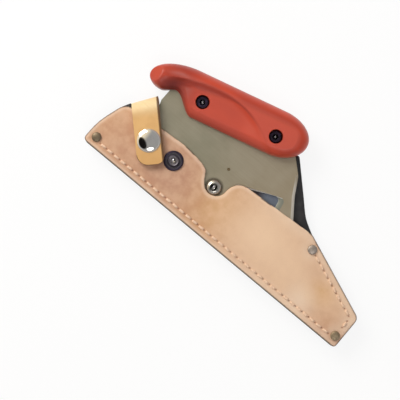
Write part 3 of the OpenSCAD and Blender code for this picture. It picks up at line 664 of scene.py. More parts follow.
def welt_leather(look):
    """Raw edge of the layered filler strip."""
    finish = Finish("welt_leather")
    plies = finish.noise(finish.place((0.04, 0.04, 2)), 1.4 * MM)
    fibre = finish.noise(finish.place(), 0.6 * MM)
    toned = finish.layers(look.cut_edge, (0.25 + 0.35 * finish.levels(plies, 0.3, 0.7), look.tan_deep))
    return finish.done(
        toned, roughness=0.75 + fibre * 0.1,
        normal=finish.bump(plies + fibre, depth=0.1 * MM, strength=0.6))


def thread(look):
    """Waxed thread, with painted shade where it dips into its holes."""
    finish = Finish("thread")
    fibre = finish.noise(finish.place(), 0.35 * MM)
    toned = finish.layers(
        look.thread, (fibre * 0.4, scaled(look.thread, 0.7)), (finish.attribute("hole"), look.awl_hole_shade))
    return finish.done(
        toned, roughness=0.6 + fibre * 0.15, normal=finish.bump(fibre, depth=0.05 * MM, strength=0.6))


def blasted_steel(look):
    """Satin plate: fine blasting under a faint grain, with painted highlights on its edges and a ring of
    painted shade at the bolt.
    """
    finish = Finish("plate_steel")
    place = finish.place()
    bolt = middle(*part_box("blade_bolt")).xy
    blast = finish.noise(place, 0.35 * MM, roughness=0.6)
    grain = finish.noise(finish.place((0.12, 4, 1), GRIP_TILT), 3 * MM, detail=4)
    stain = finish.patches(place, 26 * MM, 0.34, 0.68)
    # Painted highlight: full on steep edges, and on slopes facing +X weaker above Y 30 mm
    shine = 0.42 - 0.34 * finish.levels(finish.along(place, 1), 30 * MM, 39 * MM)
    edge = finish.attribute("edge") + finish.attribute("bevel") * shine
    toned = finish.layers(
        look.plate_green,
        (finish.levels(finish.along(place, 0), -40 * MM, 45 * MM), look.plate),
        (stain * 0.4, look.plate_light),
        (finish.levels(grain, 0.4, 0.75) * 0.16, scaled(look.plate, 0.7)),
        # Painted shade in the notch round the bolt
        (finish.spot(place, bolt, 6 * MM, 7.6 * MM) * 0.75, scaled(look.plate, 0.25)),
        # Painted highlight on edges and slopes facing +X
        (edge, look.plate_edge_highlight),
        # Painted shade on slopes facing -X
        (finish.attribute("dull"), look.plate_slope_shade))
    return finish.done(
        toned, metallic=0.6 - 0.5 * edge, roughness=0.46 + 0.1 * grain - stain * 0.06,
        normal=finish.bump(blast * 0.7 + grain * 0.5, depth=0.02 * MM, strength=0.5))


def blued_steel(look):
    """Slate-blue blade with a brown cast and a painted shadow at the left of the plate's window."""
    finish = Finish("blade_steel")
    place = finish.place()
    # Painted shadow of the plate and the leather at the left end of the window
    window_left = (17.5 * MM, 11 * MM)
    grain = finish.noise(finish.place((0.1, 5, 1)), 2 * MM)
    toned = finish.layers(
        look.blade,
        (finish.patches(place, 20 * MM, 0.4, 0.7) * 0.35, look.blade_brown),
        (finish.spot(place, window_left, 5 * MM, 14 * MM) * 0.9, look.blade_brown))
    return finish.done(
        toned, metallic=0.6, roughness=0.34 + grain * 0.14,
        normal=finish.bump(grain, depth=0.015 * MM, strength=0.4))


def metal(name, tint, worn, roughness, metallic=1.0, wear=0.5):
    """Plain or plated metal with fine scratches and rubbed patches, paler where painted sheen, painted
    glints and wear are marked, and darker where painted shade and darker tones are marked.
    """
    finish = Finish(name)
    rubbed = finish.patches(finish.place(), 2.6 * MM, 0.42, 0.72, detail=4, roughness=0.6)
    scratch = finish.noise(finish.place((0.3, 5, 1), radians(30)), 0.9 * MM)
    toned = finish.layers(
        tint,
        (rubbed * wear, scaled(tint, worn)),
        # Pale tint for painted sheen, glints and wear; dark tint for painted shade and darker tones
        (finish.attribute("worn"), SHEEN_AND_WEAR_TINT),
        (finish.attribute("grime"), SHADE_AND_GRIME_TINT))
    return finish.done(
        toned, metallic=metallic, roughness=roughness * (1 + rubbed * 0.3) + scratch * 0.06,
        normal=finish.bump(scratch, depth=0.01 * MM, strength=min(0.35, 2 * roughness)))


def moulded_plastic(look):
    """Satin moulded grip with a fine spark texture, darker flow marks and maroon painted shade in the neck,
    along the parting line, crease and upper band and on the hook.
    """
    finish = Finish("grip_plastic")
    place = finish.place()
    flow = finish.patches(finish.place((0.35, 1, 1), GRIP_TILT), 14 * MM, 0.35, 0.72)
    spark = finish.noise(place, 0.28 * MM, detail=2)
    scuff = finish.patches(place, 3 * MM, 0.55, 0.8, detail=5, roughness=0.65)
    toned = finish.layers(
        look.grip,
        (flow * 0.45, look.grip_deep),
        (finish.attribute("rubbed"), look.grip_palm),
        # Maroon painted shade
        (finish.attribute("grime") * 0.85, look.grip_neck_shade))
    return finish.done(
        toned, roughness=0.36 + scuff * 0.12, specular_ior_level=0.36,
        normal=finish.bump(spark, depth=0.03 * MM, strength=0.22))


# Sheath

def panel_faces():
    """Levels of the sheath's back and front faces."""
    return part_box("back_panel")[0].z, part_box("front_panel")[1].z


def stitch_list():
    """Middle and half length of each stitch, seen from above, with True on the front."""
    halfway = sum(panel_faces()) / 2
    stitches = []
    for low, high, points in solids("seam_thread"):
        centre = middle(low, high)
        tip = max(points, key=lambda p: (p.xy - centre.xy).length)
        stitches.append((centre.xy, tip.xy - centre.xy, centre.z > halfway))
    return stitches


def awl_holes():
    """Places of the holes between the stitches, each once."""
    reach = 0.8 * MM
    holes = []
    for centre, along, on_front in stitch_list():
        if not on_front:
            continue
        for side in (-1, 1):
            spot = centre + along * side + along.normalized() * side * reach
            if all((spot - other).length > 2 * reach for other in holes):
                holes.append(spot)
    return holes


def places(*nodes):
    """Middles of the separate solids in CAD nodes, seen from above."""
    return [middle(low, high).xy for node in nodes for low, high, _ in solids(node)]


def refine(obj, distance, reach):
    """Divides the faces close to some places more finely."""
    pick(obj)
    for face in obj.data.polygons:
        face.select = distance(face.center) < reach
    for group in (obj.data.edges, obj.data.vertices):
        for item in group:
            item.select = False
    bpy.ops.object.mode_set(mode="EDIT")
    bpy.ops.mesh.select_mode(type="FACE")
    bpy.ops.mesh.subdivide(number_cuts=2)
    bpy.ops.object.mode_set(mode="OBJECT")


class PULLKNIFE_OT_panels(bpy.types.Operator):
    """Front panel, back panel, edge welt and belt loop"""

    bl_idname = "pullknife.panels"
    bl_label = "Sheath panels"

    # Widths from an edge or a hole: finer mesh, burnished rim, painted highlight on the lips, painted shade
    # in the awl holes
    FINE = 1.6 * MM
    RIM = 1.5 * MM
    LIP = 3 * MM
    WIDE_LIP = 10 * MM
    MOUTH_LIP = 1.8 * MM
    HOLE = 1.15 * MM

    # How far the burnish fades in from the outline, the wide painted highlight grows along X, the mouth's
    # painted highlight stays away
    BURNISH_FADE = 2 * MM
    WIDE_LIP_RUN = 80 * MM
    MOUTH_FROM = 4 * MM

    # Widths of the dents, and the radius of the ring pressed round a button
    RIM_DENT = 2.5 * MM
    HOLE_DENT = 1.1 * MM
    SEAM_DENT = 3 * MM
    RING = 4 * MM
    RING_DENT = 2 * MM

    # Waves to a metre, and the width over which they die down at an edge
    SLOW_WAVES = 45
    QUICK_WAVES = 120
    CALM = 4 * MM

    def execute(self, context):
        self.look = look = context.scene.pull_knife.leather
        self.rim_step = look.grid / 5
        outline = copy_of("back_panel", "outline")
        self.to_outline = search_tree(rim_points(outline, self.rim_step))
        discard(outline)
        holes, buttons, rivets = awl_holes(), places("rivet_caps", "snap_stud"), places("loop_rivets")
        tanned, black = front_leather(look), black_leather(look)
        bolt = middle(*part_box("blade_bolt")).xy
        front = self.sheet("front_panel", "sheath_front", 1, holes, buttons, look.front_grow)
        corner = bolt + Vector((-look.corner_left, look.corner_up))
        self.press(front, corner, look.corner_reach, look.corner_blunt, lambda t: t ** 1.5)
        settle(front, "sheath", tanned, "front_panel", angle=60)
        back = self.sheet("back_panel", "sheath_back", -1, holes, buttons, look.back_grow)
        ear = bolt + Vector((look.ear_right, look.ear_up))
        self.press(back, ear, look.ear_reach, look.ear_hollow, ease)
        settle(back, "sheath", black, "back_panel", angle=60)
        welt = copy_of("edge_welt", "sheath_welt")
        round_edges(welt, 0.4 * MM)
        settle(welt, "sheath", welt_leather(look), "edge_welt")
        loop = self.sheet("belt_loop", "sheath_belt_loop", -1, rivets, rivets, 0)
        settle(loop, "sheath", black, "belt_loop", angle=60)
        return {"FINISHED"}

    def sheet(self, node, name, outward, holes, buttons, grow):
        """A panel with soft cut edges, dents at its stitches and rivets, and waves on its outer face."""
        obj = copy_of(node, name)
        low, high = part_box(node)
        rim = search_tree(rim_points(obj, self.rim_step))
        hole, button = search_tree(holes), search_tree(buttons)
        apply_modifier(obj, "REMESH", mode="VOXEL", voxel_size=self.look.grid)
        apply_modifier(obj, "SMOOTH", factor=0.5, iterations=5)
        refine(obj, lambda co: min(hole(co), rim(co)), self.FINE)
        inner = low.z if outward > 0 else high.z
        thickness = high.z - low.z
        rims, lips, dark = [], [], []
        for vertex in obj.data.vertices:
            co = vertex.co
            to_rim, to_hole, to_outline = rim(co), hole(co), self.to_outline(co)
            outer = ease(abs(co.z - inner) / thickness * 1.6 - 0.6)
            co.z += outward * outer * self.lift(co, to_rim, to_hole, button(co))
            above = abs(co.z - inner) / thickness
            top = ease(above * 5 - 4)
            sewn = near(max(0, to_outline - self.RIM), self.BURNISH_FADE)
            rims.append(near(to_rim, self.RIM) * (1 - 0.4 * top) * sewn)
            # Painted highlight on the lips: a band along the edges, wider towards +X, and a line along the
            # mouth
            wide = 0.75 * near(to_rim, self.WIDE_LIP) * ease(co.x / self.WIDE_LIP_RUN)
            mouth = 0.9 * near(to_rim, self.MOUTH_LIP) * ease(above * 2.5 - 1.2)
            mouth *= ease(to_outline / self.MOUTH_FROM)
            lips.append(max(near(to_rim, self.LIP) * top, wide * top, mouth))
            # Painted shade in the awl holes
            dark.append(near(to_hole, self.HOLE) * outer)
        mark(obj, rim=rims, lip=lips, hole=dark)
        sideways = [v.normal.xy.copy() for v in obj.data.vertices]
        for vertex, aside in zip(obj.data.vertices, sideways):
            vertex.co.xy += aside * grow
        return obj

    def lift(self, co, to_rim, to_hole, to_button):
        """Height of the waves less the depth of the dents at the rim, the stitches and the buttons."""
        slow = Vector((co.x, co.y, 0)) * self.SLOW_WAVES
        quick = Vector((co.x, co.y, 1)) * self.QUICK_WAVES
        wave = noise.noise(slow) + 0.5 * noise.noise(quick)
        dents = 0.5 * near(to_rim, self.RIM_DENT) + 0.6 * near(abs(to_button - self.RING), self.RING_DENT)
        dents += near(to_hole, self.HOLE_DENT) + 0.4 * near(to_hole, self.SEAM_DENT)
        return self.look.ripple * wave * ease(to_rim / self.CALM) - self.look.dent * dents

    def press(self, obj, spot, reach, depth, fall):
        """Presses an edge back around a spot, less and less up to the reach."""
        for vertex in obj.data.vertices:
            away = (vertex.co.xy - spot).length / reach
            if away < 1:
                vertex.co.xy += OFF_THE_MOUTH * depth * fall(1 - away)


def twisted_stitch(half, radius):
    """One two-ply stitch along X whose ends dip into the leather."""
    obj = added(
        bpy.ops.mesh.primitive_uv_sphere_add, segments=12, ring_count=14, radius=1, rotation=(0, pi / 2, 0))
    dips = []
    for vertex in obj.data.vertices:
        x, y, z = vertex.co
        angle = atan2(z, y)
        fat = (1 - abs(x) ** 5) ** 0.5 * (1 + 0.16 * cos(2 * angle - 9 * x))
        # Painted shade where the stitch's ends dip into the leather
        dips.append(ease((abs(x) - 0.78) / 0.22))
        sink = 1.2 * ease((abs(x) - 0.55) / 0.45)
        vertex.co = (x * half, radius * fat * cos(angle), radius * (fat * sin(angle) * 0.85 + 0.25 - sink))
    mark(obj, hole=dips)
    return obj


class PULLKNIFE_OT_seam(bpy.types.Operator):
    """Stitches on both faces of the sheath"""

    bl_idname = "pullknife.seam"
    bl_label = "Seam"

    # How much fuller and, at each end, longer than the CAD's a stitch is, and how far it may lie askew
    FULLER = 1.25
    LONGER = 0.3 * MM
    ASKEW = 0.25

    def execute(self, context):
        back, front = panel_faces()
        rows = stitch_list()
        radius = self.FULLER * (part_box("seam_thread")[1].z - front)
        pattern = twisted_stitch(rows[0][1].length + self.LONGER, radius)
        copies = []
        for i, (centre, along, on_front) in enumerate(rows):
            level, flip = (front, 0) if on_front else (back, pi)
            slant = self.ASKEW * noise.noise((i * 0.7, 0.3, 0))
            spin = Matrix.Rotation(atan2(along.y, along.x) + slant, 4, "Z")
            stitch = new_object("stitch", pattern.data.copy())
            over = Matrix.Rotation(flip, 4, "X")
            stitch.data.transform(Matrix.Translation((*centre, level)) @ spin @ over)
            copies.append(stitch)
        discard(pattern)
        waxed = thread(context.scene.pull_knife.leather)
        settle(joined("sheath_stitches", copies), "sheath", waxed, "seam_thread", angle=60)
        return {"FINISHED"}


def domed(radius, height, rim):
    """Profile of a low cap with a rolled rim, from the axis to its underside."""
    side = radius * 0.96
    angles = [i * pi / 2 / 10 for i in range(11)]
    dome = [(side * sin(a), height * (rim + (1 - rim) * cos(a))) for a in angles]
    roll = [(radius, height * rim * 0.7), (radius, height * rim * 0.3), (radius * 0.95, 0), (0, 0)]
    return dome + roll


class PULLKNIFE_OT_rivets(bpy.types.Operator):
    """Edge rivets and the rivets of the belt loop and the strap"""

    bl_idname = "pullknife.rivets"
    bl_label = "Rivets"

    # Darker tone on the first head of each node, lighter on the second
    FIRST_DARKER = 0.35
    SECOND_LIGHTER = 0.4

    def execute(self, context):
        dull = metal("rivet_metal", context.scene.pull_knife.hard.rivet, worn=0.5, roughness=0.42)
        for node in ("rivet_caps", "rivet_posts", "loop_rivets", "strap_rivets"):
            parts = []
            for i, solid in enumerate(solids(node)):
                head, *rest = self.cap(*solid) if node == "rivet_caps" else self.post(*solid)
                count = len(head.data.vertices)
                mark(head, grime=[self.FIRST_DARKER * (i == 0)] * count, worn=[self.SECOND_LIGHTER * (i == 1)] * count)
                parts += [head, *rest]
            settle(joined("sheath_" + node, parts), "sheath", dull, node)
        return {"FINISHED"}

    def cap(self, low, high, _):
        """Domed head that faces up."""
        profile = domed((high.x - low.x) / 2, high.z - low.z, rim=0.55)
        return [turned("rivet", profile, (*middle(low, high).xy, low.z))]

    def post(self, low, high, points):
        """Domed head that faces down, and the shank above it."""
        centre = middle(low, high)
        radius = (high.x - low.x) / 2
        seat = max(p.z for p in points if (p.xy - centre.xy).length > radius * 0.98)
        profile = [(r, -h) for r, h in domed(radius, seat - low.z, rim=0.55)]
        head = turned("rivet", profile, (*centre.xy, seat))
        return [head, shank(centre, RIVET_SHANK, seat, high.z, steps=24)]


class PULLKNIFE_OT_snap(bpy.types.Operator):
    """Snap: stud and post on the front, cap and socket on the strap"""

    bl_idname = "pullknife.snap"
    bl_label = "Snap"

    # Profiles as shares of the radius and the height
    RING = (
        (0.26, 0.0), (1.0, 0.0), (1.0, 0.2), (0.96, 0.33), (0.87, 0.4), (0.78, 0.35), (0.71, 0.22),
        (0.62, 0.2), (0.57, 0.4), (0.56, 0.84), (0.53, 0.96), (0.48, 1.0), (0.42, 0.95), (0.38, 0.8),
        (0.36, 0.34), (0.26, 0.3), (0.26, 0.0))
    POST = (
        (0, 0), (1, 0), (1, 0.14), (0.53, 0.14), (0.53, 0.94), (0.46, 1), (0.36, 1), (0.2, 0.96), (0, 0.95))

    def execute(self, context):
        look = context.scene.pull_knife.hard
        nickel = metal("snap_metal", look.nickel, worn=0.8, roughness=0.03, wear=0.25)
        black = metal("black_metal", look.black, worn=2.4, roughness=0.34, metallic=0.6)
        self.stud(black, nickel)
        self.cap(nickel)
        return {"FINISHED"}

    def stud(self, black, nickel):
        """Black ring with a rolled rim and a painted sheen inside its collar and on a ring round it, and the
        plated post in it.
        """
        low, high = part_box("snap_stud")
        centre, radius = middle(low, high).xy, (high.x - low.x) / 2
        ring = self.spun("sheath_snap_stud", self.RING, "snap_stud", centre)
        outs = [(vertex.co.xy - centre).length / radius for vertex in ring.data.vertices]
        # Painted sheen inside the collar and on a ring round it
        mark(ring, worn=[
            max(0.5 * near(out - 0.38, 0.15), 0.28 * near(abs(out - 0.69), 0.14)) for out in outs])
        settle(ring, "sheath", black, "snap_stud")
        post = self.spun("sheath_stud_post", self.POST, "stud_post", centre)
        mark(post, worn=[0.8] * len(post.data.vertices))
        settle(post, "sheath", nickel, "stud_post")

    def spun(self, name, profile, node, centre):
        """A round piece from a profile in shares, as large as a CAD node."""
        low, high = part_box(node)
        radius, height = (high.x - low.x) / 2, high.z - low.z
        return turned(name, [(r * radius, h * height) for r, h in profile], (*centre, low.z))

    def cap(self, nickel):
        """Domed cap on the flap and the socket under it."""
        low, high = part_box("snap_cap")
        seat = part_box("strap_flap")[1].z
        profile = domed((high.x - low.x) / 2, high.z - seat, rim=0.25)
        dome = turned("strap_snap_cap", profile, (*middle(low, high).xy, seat), steps=64)
        settle(dome, "strap", nickel, "snap_cap")
        socket = copy_of("snap_socket", "strap_snap_socket")
        round_edges(socket, 0.3 * MM)
        settle(socket, "strap", nickel, "snap_socket")


class PULLKNIFE_OT_strap(bpy.types.Operator):
    """Strap from its root behind the sheath, round the fold to its free end"""

    bl_idname = "pullknife.strap"
    bl_label = "Strap"

    # Radius of the root's corners, width of the cut edge, slack in the thickness, start of the painted
    # highlight at the fold
    ROOT_CORNER = 2.5 * MM
    CUT_EDGE = 0.9 * MM
    SLACK = 0.1 * MM
    FOLD_FROM = 1 * MM

    def execute(self, context):
        look = context.scene.pull_knife.leather
        hinge = next(j for j in frame["joints"] if j["name"] == "strap_swing")
        self.pivot = Vector(hinge["pos_m"])
        self.across = Vector(hinge["axis"]).normalized()
        self.inward = self.across.cross(Vector((0, 0, 1)))
        if self.inward.x < 0:
            self.inward.negate()
        root_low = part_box("strap_root")[0].z
        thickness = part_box("back_panel")[0].z - root_low
        self.radius = (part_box("strap_flap")[1].z - root_low - thickness) / 2
        root_end, self.width = self.reach("strap_root")
        flap_end, _ = self.reach("strap_flap")
        self.root_run = root_end - self.radius
        self.flap_run = flap_end - self.radius
        obj = self.strip(thickness, look)
        obj.data.materials.append(strap_leather(look))
        pick(obj)
        bpy.ops.object.shade_smooth_by_angle(angle=radians(50))
        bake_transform(obj)
        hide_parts("strap_root", "strap_flap")
        return {"FINISHED"}

    def reach(self, node):
        """How far a node runs from the pivot along the strap, and its width."""
        points = [v.co - self.pivot for v in frame["nodes"][node].data.vertices]
        along = [p.dot(self.inward) for p in points]
        aside = [p.dot(self.across) for p in points]
        return max(along), max(aside) - min(aside)

    def strip(self, thickness, look):
        """The strip laid along its path, with rounded corners at both ends, soft edges and a skewed fold."""
        obj = added(bpy.ops.mesh.primitive_grid_add, x_subdivisions=140, y_subdivisions=32, size=2)
        obj.name = obj.data.name = "sheath_strap"
        arc = pi * self.radius
        whole = self.root_run + arc + self.flap_run
        for vertex in obj.data.vertices:
            s = (vertex.co.x + 1) / 2 * whole
            half = self.half_width(s, whole, look.round_left if vertex.co.y > 0 else look.round_right)
            aside = half * sin(vertex.co.y * pi / 2)
            share = near(abs(s - self.root_run - arc / 2), arc / 2 + 0.9 * self.flap_run)
            skew = (aside * tan(look.fold_skew) - look.fold_out) * share
            vertex.co = self.path(s, arc) + self.across * aside + self.inward * skew
        apply_modifier(obj, "SOLIDIFY", thickness=thickness - self.SLACK, offset=0)
        edit_all(obj, (bpy.ops.mesh.normals_make_consistent, {"inside": False}))
        round_edges(obj, 0.45 * MM, segments=3, angle=50)
        outs = [(vertex.co - self.pivot).dot(self.inward) for vertex in obj.data.vertices]
        # Painted highlight at the fold, darker leather towards the free end, and painted shade along the
        # right side with the dark cut ends
        mark(
            obj,
            fold=[near(max(0, out - self.FOLD_FROM), self.radius * 1.5) for out in outs],
            end=[ease(out / (self.radius + self.flap_run) * 2 - 1) for out in outs],
            rim=[self.edge_and_shade_share(vertex.co, look) for vertex in obj.data.vertices])
        return obj

    def half_width(self, s, whole, corner):
        """Half the strap's width at a place along it, on the side with this end corner."""
        half = self.width / 2
        for away, radius in ((s, self.ROOT_CORNER), (whole - s, corner)):
            if away < radius:
                half = min(half, self.width / 2 - radius + sqrt(radius ** 2 - (radius - away) ** 2))
        return half

    def path(self, s, arc):
        """Place of the strap's middle at a distance from the root's end."""
        up = Vector((0, 0, self.radius))
        centre = self.pivot + self.inward * self.radius
        if s < self.root_run:
            return centre + self.inward * (self.root_run - s) - up
        if s > self.root_run + arc:
            return centre + self.inward * (s - self.root_run - arc) + up
        angle = (s - self.root_run) / self.radius
        return centre - self.inward * self.radius * sin(angle) - up * cos(angle)

    def edge_and_shade_share(self, co, look):
        """One along the strap's right side, where shade is painted, and at its cut ends, falling to nothing
        on its faces.
        """
        across = (co - self.pivot).dot(self.across)
        out = (co - self.pivot).dot(self.inward)
        end = self.radius + (self.flap_run if co.z > self.pivot.z else self.root_run)
        radius = look.round_left if across > 0 else look.round_right
        past = max(0, out - end + radius)
        corner = max(0, abs(across) - self.width / 2 + radius)
        inset = radius - sqrt(past ** 2 + corner ** 2) if past and corner else end - out
        # Painted shade along the right side
        dark = near(max(0, self.width / 2 + across), look.strap_side)
        return max(dark, near(max(0, inset), self.CUT_EDGE))


# Knife

class PULLKNIFE_OT_plate(bpy.types.Operator):
    """Body plate and the blade behind it"""

    bl_idname = "pullknife.plate"
    bl_label = "Plate and blade"

    # Upward share of the normals below which a face counts as an edge, and above which it counts as flat
    EDGE_BELOW = 0.85
    FLAT_ABOVE = 0.99

    def execute(self, context):
        look = context.scene.pull_knife.hard
        for node, slot, steel in (
                ("body_plate", "plate_steel", blasted_steel(look)),
                ("blade", "blade_steel", blued_steel(look))):
            obj = copy_of(node, "knife_" + node)
            round_edges(obj, look.edge, segments=3, angle=30)
            # Faces for the painted highlight (steep edges, slopes facing +X) and the painted shade (slopes
            # facing -X)
            slopes = [(abs(face.normal.z), face.normal.x) for face in obj.data.polygons]
            leans = [x if self.EDGE_BELOW <= up < self.FLAT_ABOVE else 0 for up, x in slopes]
            mark(
                obj, "FACE",
                edge=[float(up < self.EDGE_BELOW) for up, _ in slopes],
                bevel=[float(x > 0) for x in leans],
                dull=[0.7 * (x < 0) for x in leans])
            settle(obj, "knife", steel, node)
        return {"FINISHED"}


class GripShape:
    """Outline and surface of one grip half over its parting plane."""

    def __init__(self, form):
        self.form = form
        low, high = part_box("grip_front")
        self.flat = high.z - low.z

    def dome(self, t):
        """Quarter ellipse."""
        return sqrt(max(0, 1 - t * t))

    def blunt(self, t):
        """Fuller than a quarter ellipse."""
        return max(0, 1 - t ** 3) ** (1 / 3)

    def ends(self, u):
        """Shares along the nose, the tail and the hook."""
        f = self.form
        return ((u - f.nose + f.nose_run) / f.nose_run, (f.tail_run - f.tail - u) / f.tail_run,
                (-f.hook - u) / (f.tail - f.hook))

    def edges(self, u):
        """Lower and upper edge at a place along the screw line."""
        f = self.form
        nose, tail, hook = self.ends(u)
        high = f.tip + (f.top - f.tip) * self.dome(max(0, nose, tail))
        if nose > 0:
            low = f.tip - (f.tip + f.low) * self.dome(nose)
        elif u > -f.belly:
            low = -f.low
        elif u > -f.notch:
            low = -f.low * ease((u + f.notch) / (f.notch - f.belly))
        elif u > -f.hook:
            low = -f.hook_low * (1 - ease((u + f.hook) / (f.hook - f.notch)))
        else:
            low = f.tip - (f.tip + f.hook_low) * self.dome(hook)
        return low, high

    def crown(self, u):
        """Fullness of the section."""
        f = self.form
        nose, _, hook = self.ends(u)
        thin = 1 - f.hook_thin * ease((-u - f.belly) / (f.hook - f.belly))
        return (self.flat + f.crown_over) * self.blunt(max(0, nose, hook)) * thin

    def ridge(self, u):
        """Height of the crisp line between the crown's band and the finger scoop."""
        f = self.form
        away = u + f.ridge_back
        if away > 0:
            return f.ridge_high - f.ridge_right_drop * (away / f.ridge_right) ** 2.4
        return f.ridge_high - f.ridge_left_drop * (-away / f.ridge_left) ** 1.6

    def below(self, u, v):
        """How far a place is below the ridge line."""
        fall = (self.ridge(u + MM) - self.ridge(u - MM)) / (2 * MM)
        return (self.ridge(u) - v) / sqrt(1 + fall ** 2)

    def faded(self, u):
        """How far the finger scoop has run out towards the nose, from 0 to 1."""
        return ease((u - self.form.fade_from) / self.form.fade_run)

    def scoop(self, u, v):
        """Depth of the finger scoop: a crisp start at the ridge line, a soft floor and a hollow neck."""
        f = self.form
        inside = self.below(u, v)
        if inside <= 0:
            return 0
        wall = 1 - (1 - min(1, inside / f.scoop_wall)) ** 2
        start = ease((u + f.hook_ridge) / f.neck_run) * (1 - 0.75 * self.faded(u))
        return wall * (f.scoop_depth * start + f.neck_depth * near(abs(u + f.neck), f.neck_run))

    def lesser(self, first, second):
        """The lesser of two heights, with the edge between them rounded."""
        soft = 0.6 * MM
        mix = min(1, max(0, 0.5 + (second - first) / (2 * soft)))
        return second + (first - second) * mix - soft * mix * (1 - mix)

    def point(self, x, y):
        """Place along, across and above the parting plane for shares from -1 to 1."""
        f = self.form
        u = (f.nose - f.tail) / 2 + (f.nose + f.tail) / 2 * sin(x * pi / 2)
        w = sin(y * pi / 2)
        low, high = self.edges(u)
        v = (low + high) / 2 + w * (high - low) / 2
        square = f.square if w > 0 else f.square_low
        full = self.crown(u) * max(0, 1 - abs(w) ** square) ** (1 / square)
        level = min(full, self.flat)
        past = -f.hook_ridge - u
        if past > -MM:
            facet = self.crown(-f.hook_ridge) - f.hook_slope * past
            level = min(max(0, self.lesser(level, facet)), full)
        return u, v, max(0, level - self.scoop(u, v) * ease((level - f.scoop_from) / f.scoop_run))

    def grime(self, u, v, level):
        """Share of the painted shade: neck, parting line, crease below the ridge line, hook and upper band.
        """
        f = self.form
        neck = near(abs(u + f.neck + 2 * MM), f.neck_run + 9 * MM)
        neck *= 0.5 + 0.5 * ease((self.ridge(u) + MM - v) / f.scoop_wall)
        past_hook = ease((u + f.hook) / f.neck_run)
        edge = 0.5 * near(level, 0.5 * self.flat) * past_hook
        band = 0.3 * near(abs(v - 0.65 * f.top), 0.2 * f.top)
        band *= ease(u / f.neck_run + 1) * ease((f.nose - u) / f.nose_run)
        wide = (1.2 + 4 * ease(-u / f.belly)) * MM
        crease = 0.55 * near(abs(self.below(u, v) - wide / 2), wide) * past_hook
        crease *= 1 - 0.8 * self.faded(u)
        hook = 0.25 * ease((-u - f.neck) / f.neck_run)
        return max(neck, edge, crease, hook, band)

    def rubbed(self, u, v, level):
        """Share of the pale, worn cast on the flats and in the scoop."""
        inside = ease(self.below(u, v) / self.form.scoop_wall)
        return max(0.35 * inside, 0.5 * ease((level / self.flat - 0.9) * 10))


class PULLKNIFE_OT_grip(bpy.types.Operator):
    """Two moulded grip halves over the plate's tang"""

    bl_idname = "pullknife.grip"
    bl_label = "Grip"

    def execute(self, context):
        settings = context.scene.pull_knife
        self.form = settings.grip
        self.screws = left, right = [middle(low, high) for low, high, _ in solids("grip_screws")]
        self.along = Vector((*(right - left).xy, 0)).normalized()
        self.across = Vector((-self.along.y, self.along.x, 0))
        self.centre = Vector((*middle(left, right).xy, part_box("grip_front")[0].z))
        plastic = moulded_plastic(settings.hard)
        for side, node in ((1, "grip_front"), (-1, "grip_rear")):
            half = self.half(side, "knife_" + node)
            settle(half, "knife", plastic, node, angle=40)
        return {"FINISHED"}

    def half(self, side, name):
        """One half: a grid over its surface, closed at the parting plane, cut for tang and screws."""
        shape = GripShape(self.form)
        obj = added(bpy.ops.mesh.primitive_grid_add, x_subdivisions=200, y_subdivisions=90, size=2)
        obj.name = obj.data.name = name
        points = [shape.point(vertex.co.x, vertex.co.y) for vertex in obj.data.vertices]
        for vertex, (u, v, level) in zip(obj.data.vertices, points):
            vertex.co = self.centre + self.along * u + self.across * v + Vector((0, 0, side * level))
        # Painted shade, and the paler flats and scoop
        mark(obj, grime=[shape.grime(*p) for p in points], rubbed=[shape.rubbed(*p) for p in points])
        edit_all(obj, (bpy.ops.mesh.remove_doubles, {"threshold": 0.005 * MM}))
        bpy.ops.object.mode_set(mode="EDIT")
        bpy.ops.mesh.select_all(action="DESELECT")
        bpy.ops.mesh.select_mode(type="EDGE")
        bpy.ops.mesh.select_non_manifold()
        bpy.ops.mesh.edge_face_add()
        edit_all(obj, (bpy.ops.mesh.normals_make_consistent, {"inside": False}))
        carve(obj, self.tang(), *self.bores(side))
        return obj

    def tang(self):
        """Cutter that makes room for the tang: the plate, a touch thicker."""
        thicker = 1.02
        obj = copy_of("body_plate", "tang")
        for vertex in obj.data.vertices:
            vertex.co.z = self.centre.z + (vertex.co.z - self.centre.z) * thicker
        return obj

    def bores(self, side):
        """Counterbores for the heads in front, nut pockets behind."""
        far = 2 * CAD_BOX[1].z
        if side > 0:
            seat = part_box("grip_screws")[1].z - SCREW_HEAD
            return [prism(48, self.form.bore / 2, seat, far, spot) for spot in self.screws]
        tilt = atan2(self.along.y, self.along.x)
        radius, top = corner_radius(self.form.nut_pocket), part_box("grip_nuts")[1].z
        return [prism(6, radius, -far, top, spot, tilt + radians(30)) for spot in self.screws]


def corner_radius(flats):
    """Radius to the corners of a hexagon, given across its flats."""
    return flats / 2 / cos(radians(30))


def dimple(radius, place, floor):
    """A shallow bowl with a flat top, used as a cutter."""
    depth, over = 0.42 * radius, 0.1 * MM
    bowl = [(radius * t, depth * (t * t - 1)) for t in (step / 8 for step in range(9))]
    return turned("dimple", [*bowl, (radius, over), (0, over)], (*place.xy, floor), steps=32)


def socket_head(profile, centre, seat, height, flats):
    """A screw head with a hexagon socket over a drilled dimple."""
    head = turned("head", profile, (*centre.xy, seat))
    across = corner_radius(flats)
    floor = seat + height * 0.4
    carve(head, prism(6, across, floor, seat + height * 2, centre), dimple(0.8 * across, centre, floor))
    round_edges(head, 0.12 * MM, angle=30)
    # Painted shade on the socket's walls, and a painted glint on its floor
    grime, worn = [], []
    for vertex in head.data.vertices:
        out = (vertex.co.xy - centre.xy).length / across
        inside = out < 1.02 and vertex.co.z < seat + height * 0.98
        grime.append(0.8 * ease(out * 2.5 - 1.0) if inside else 0)
        worn.append(near(out, 0.7) if inside else 0)
    mark(head, grime=grime, worn=worn)
    return head


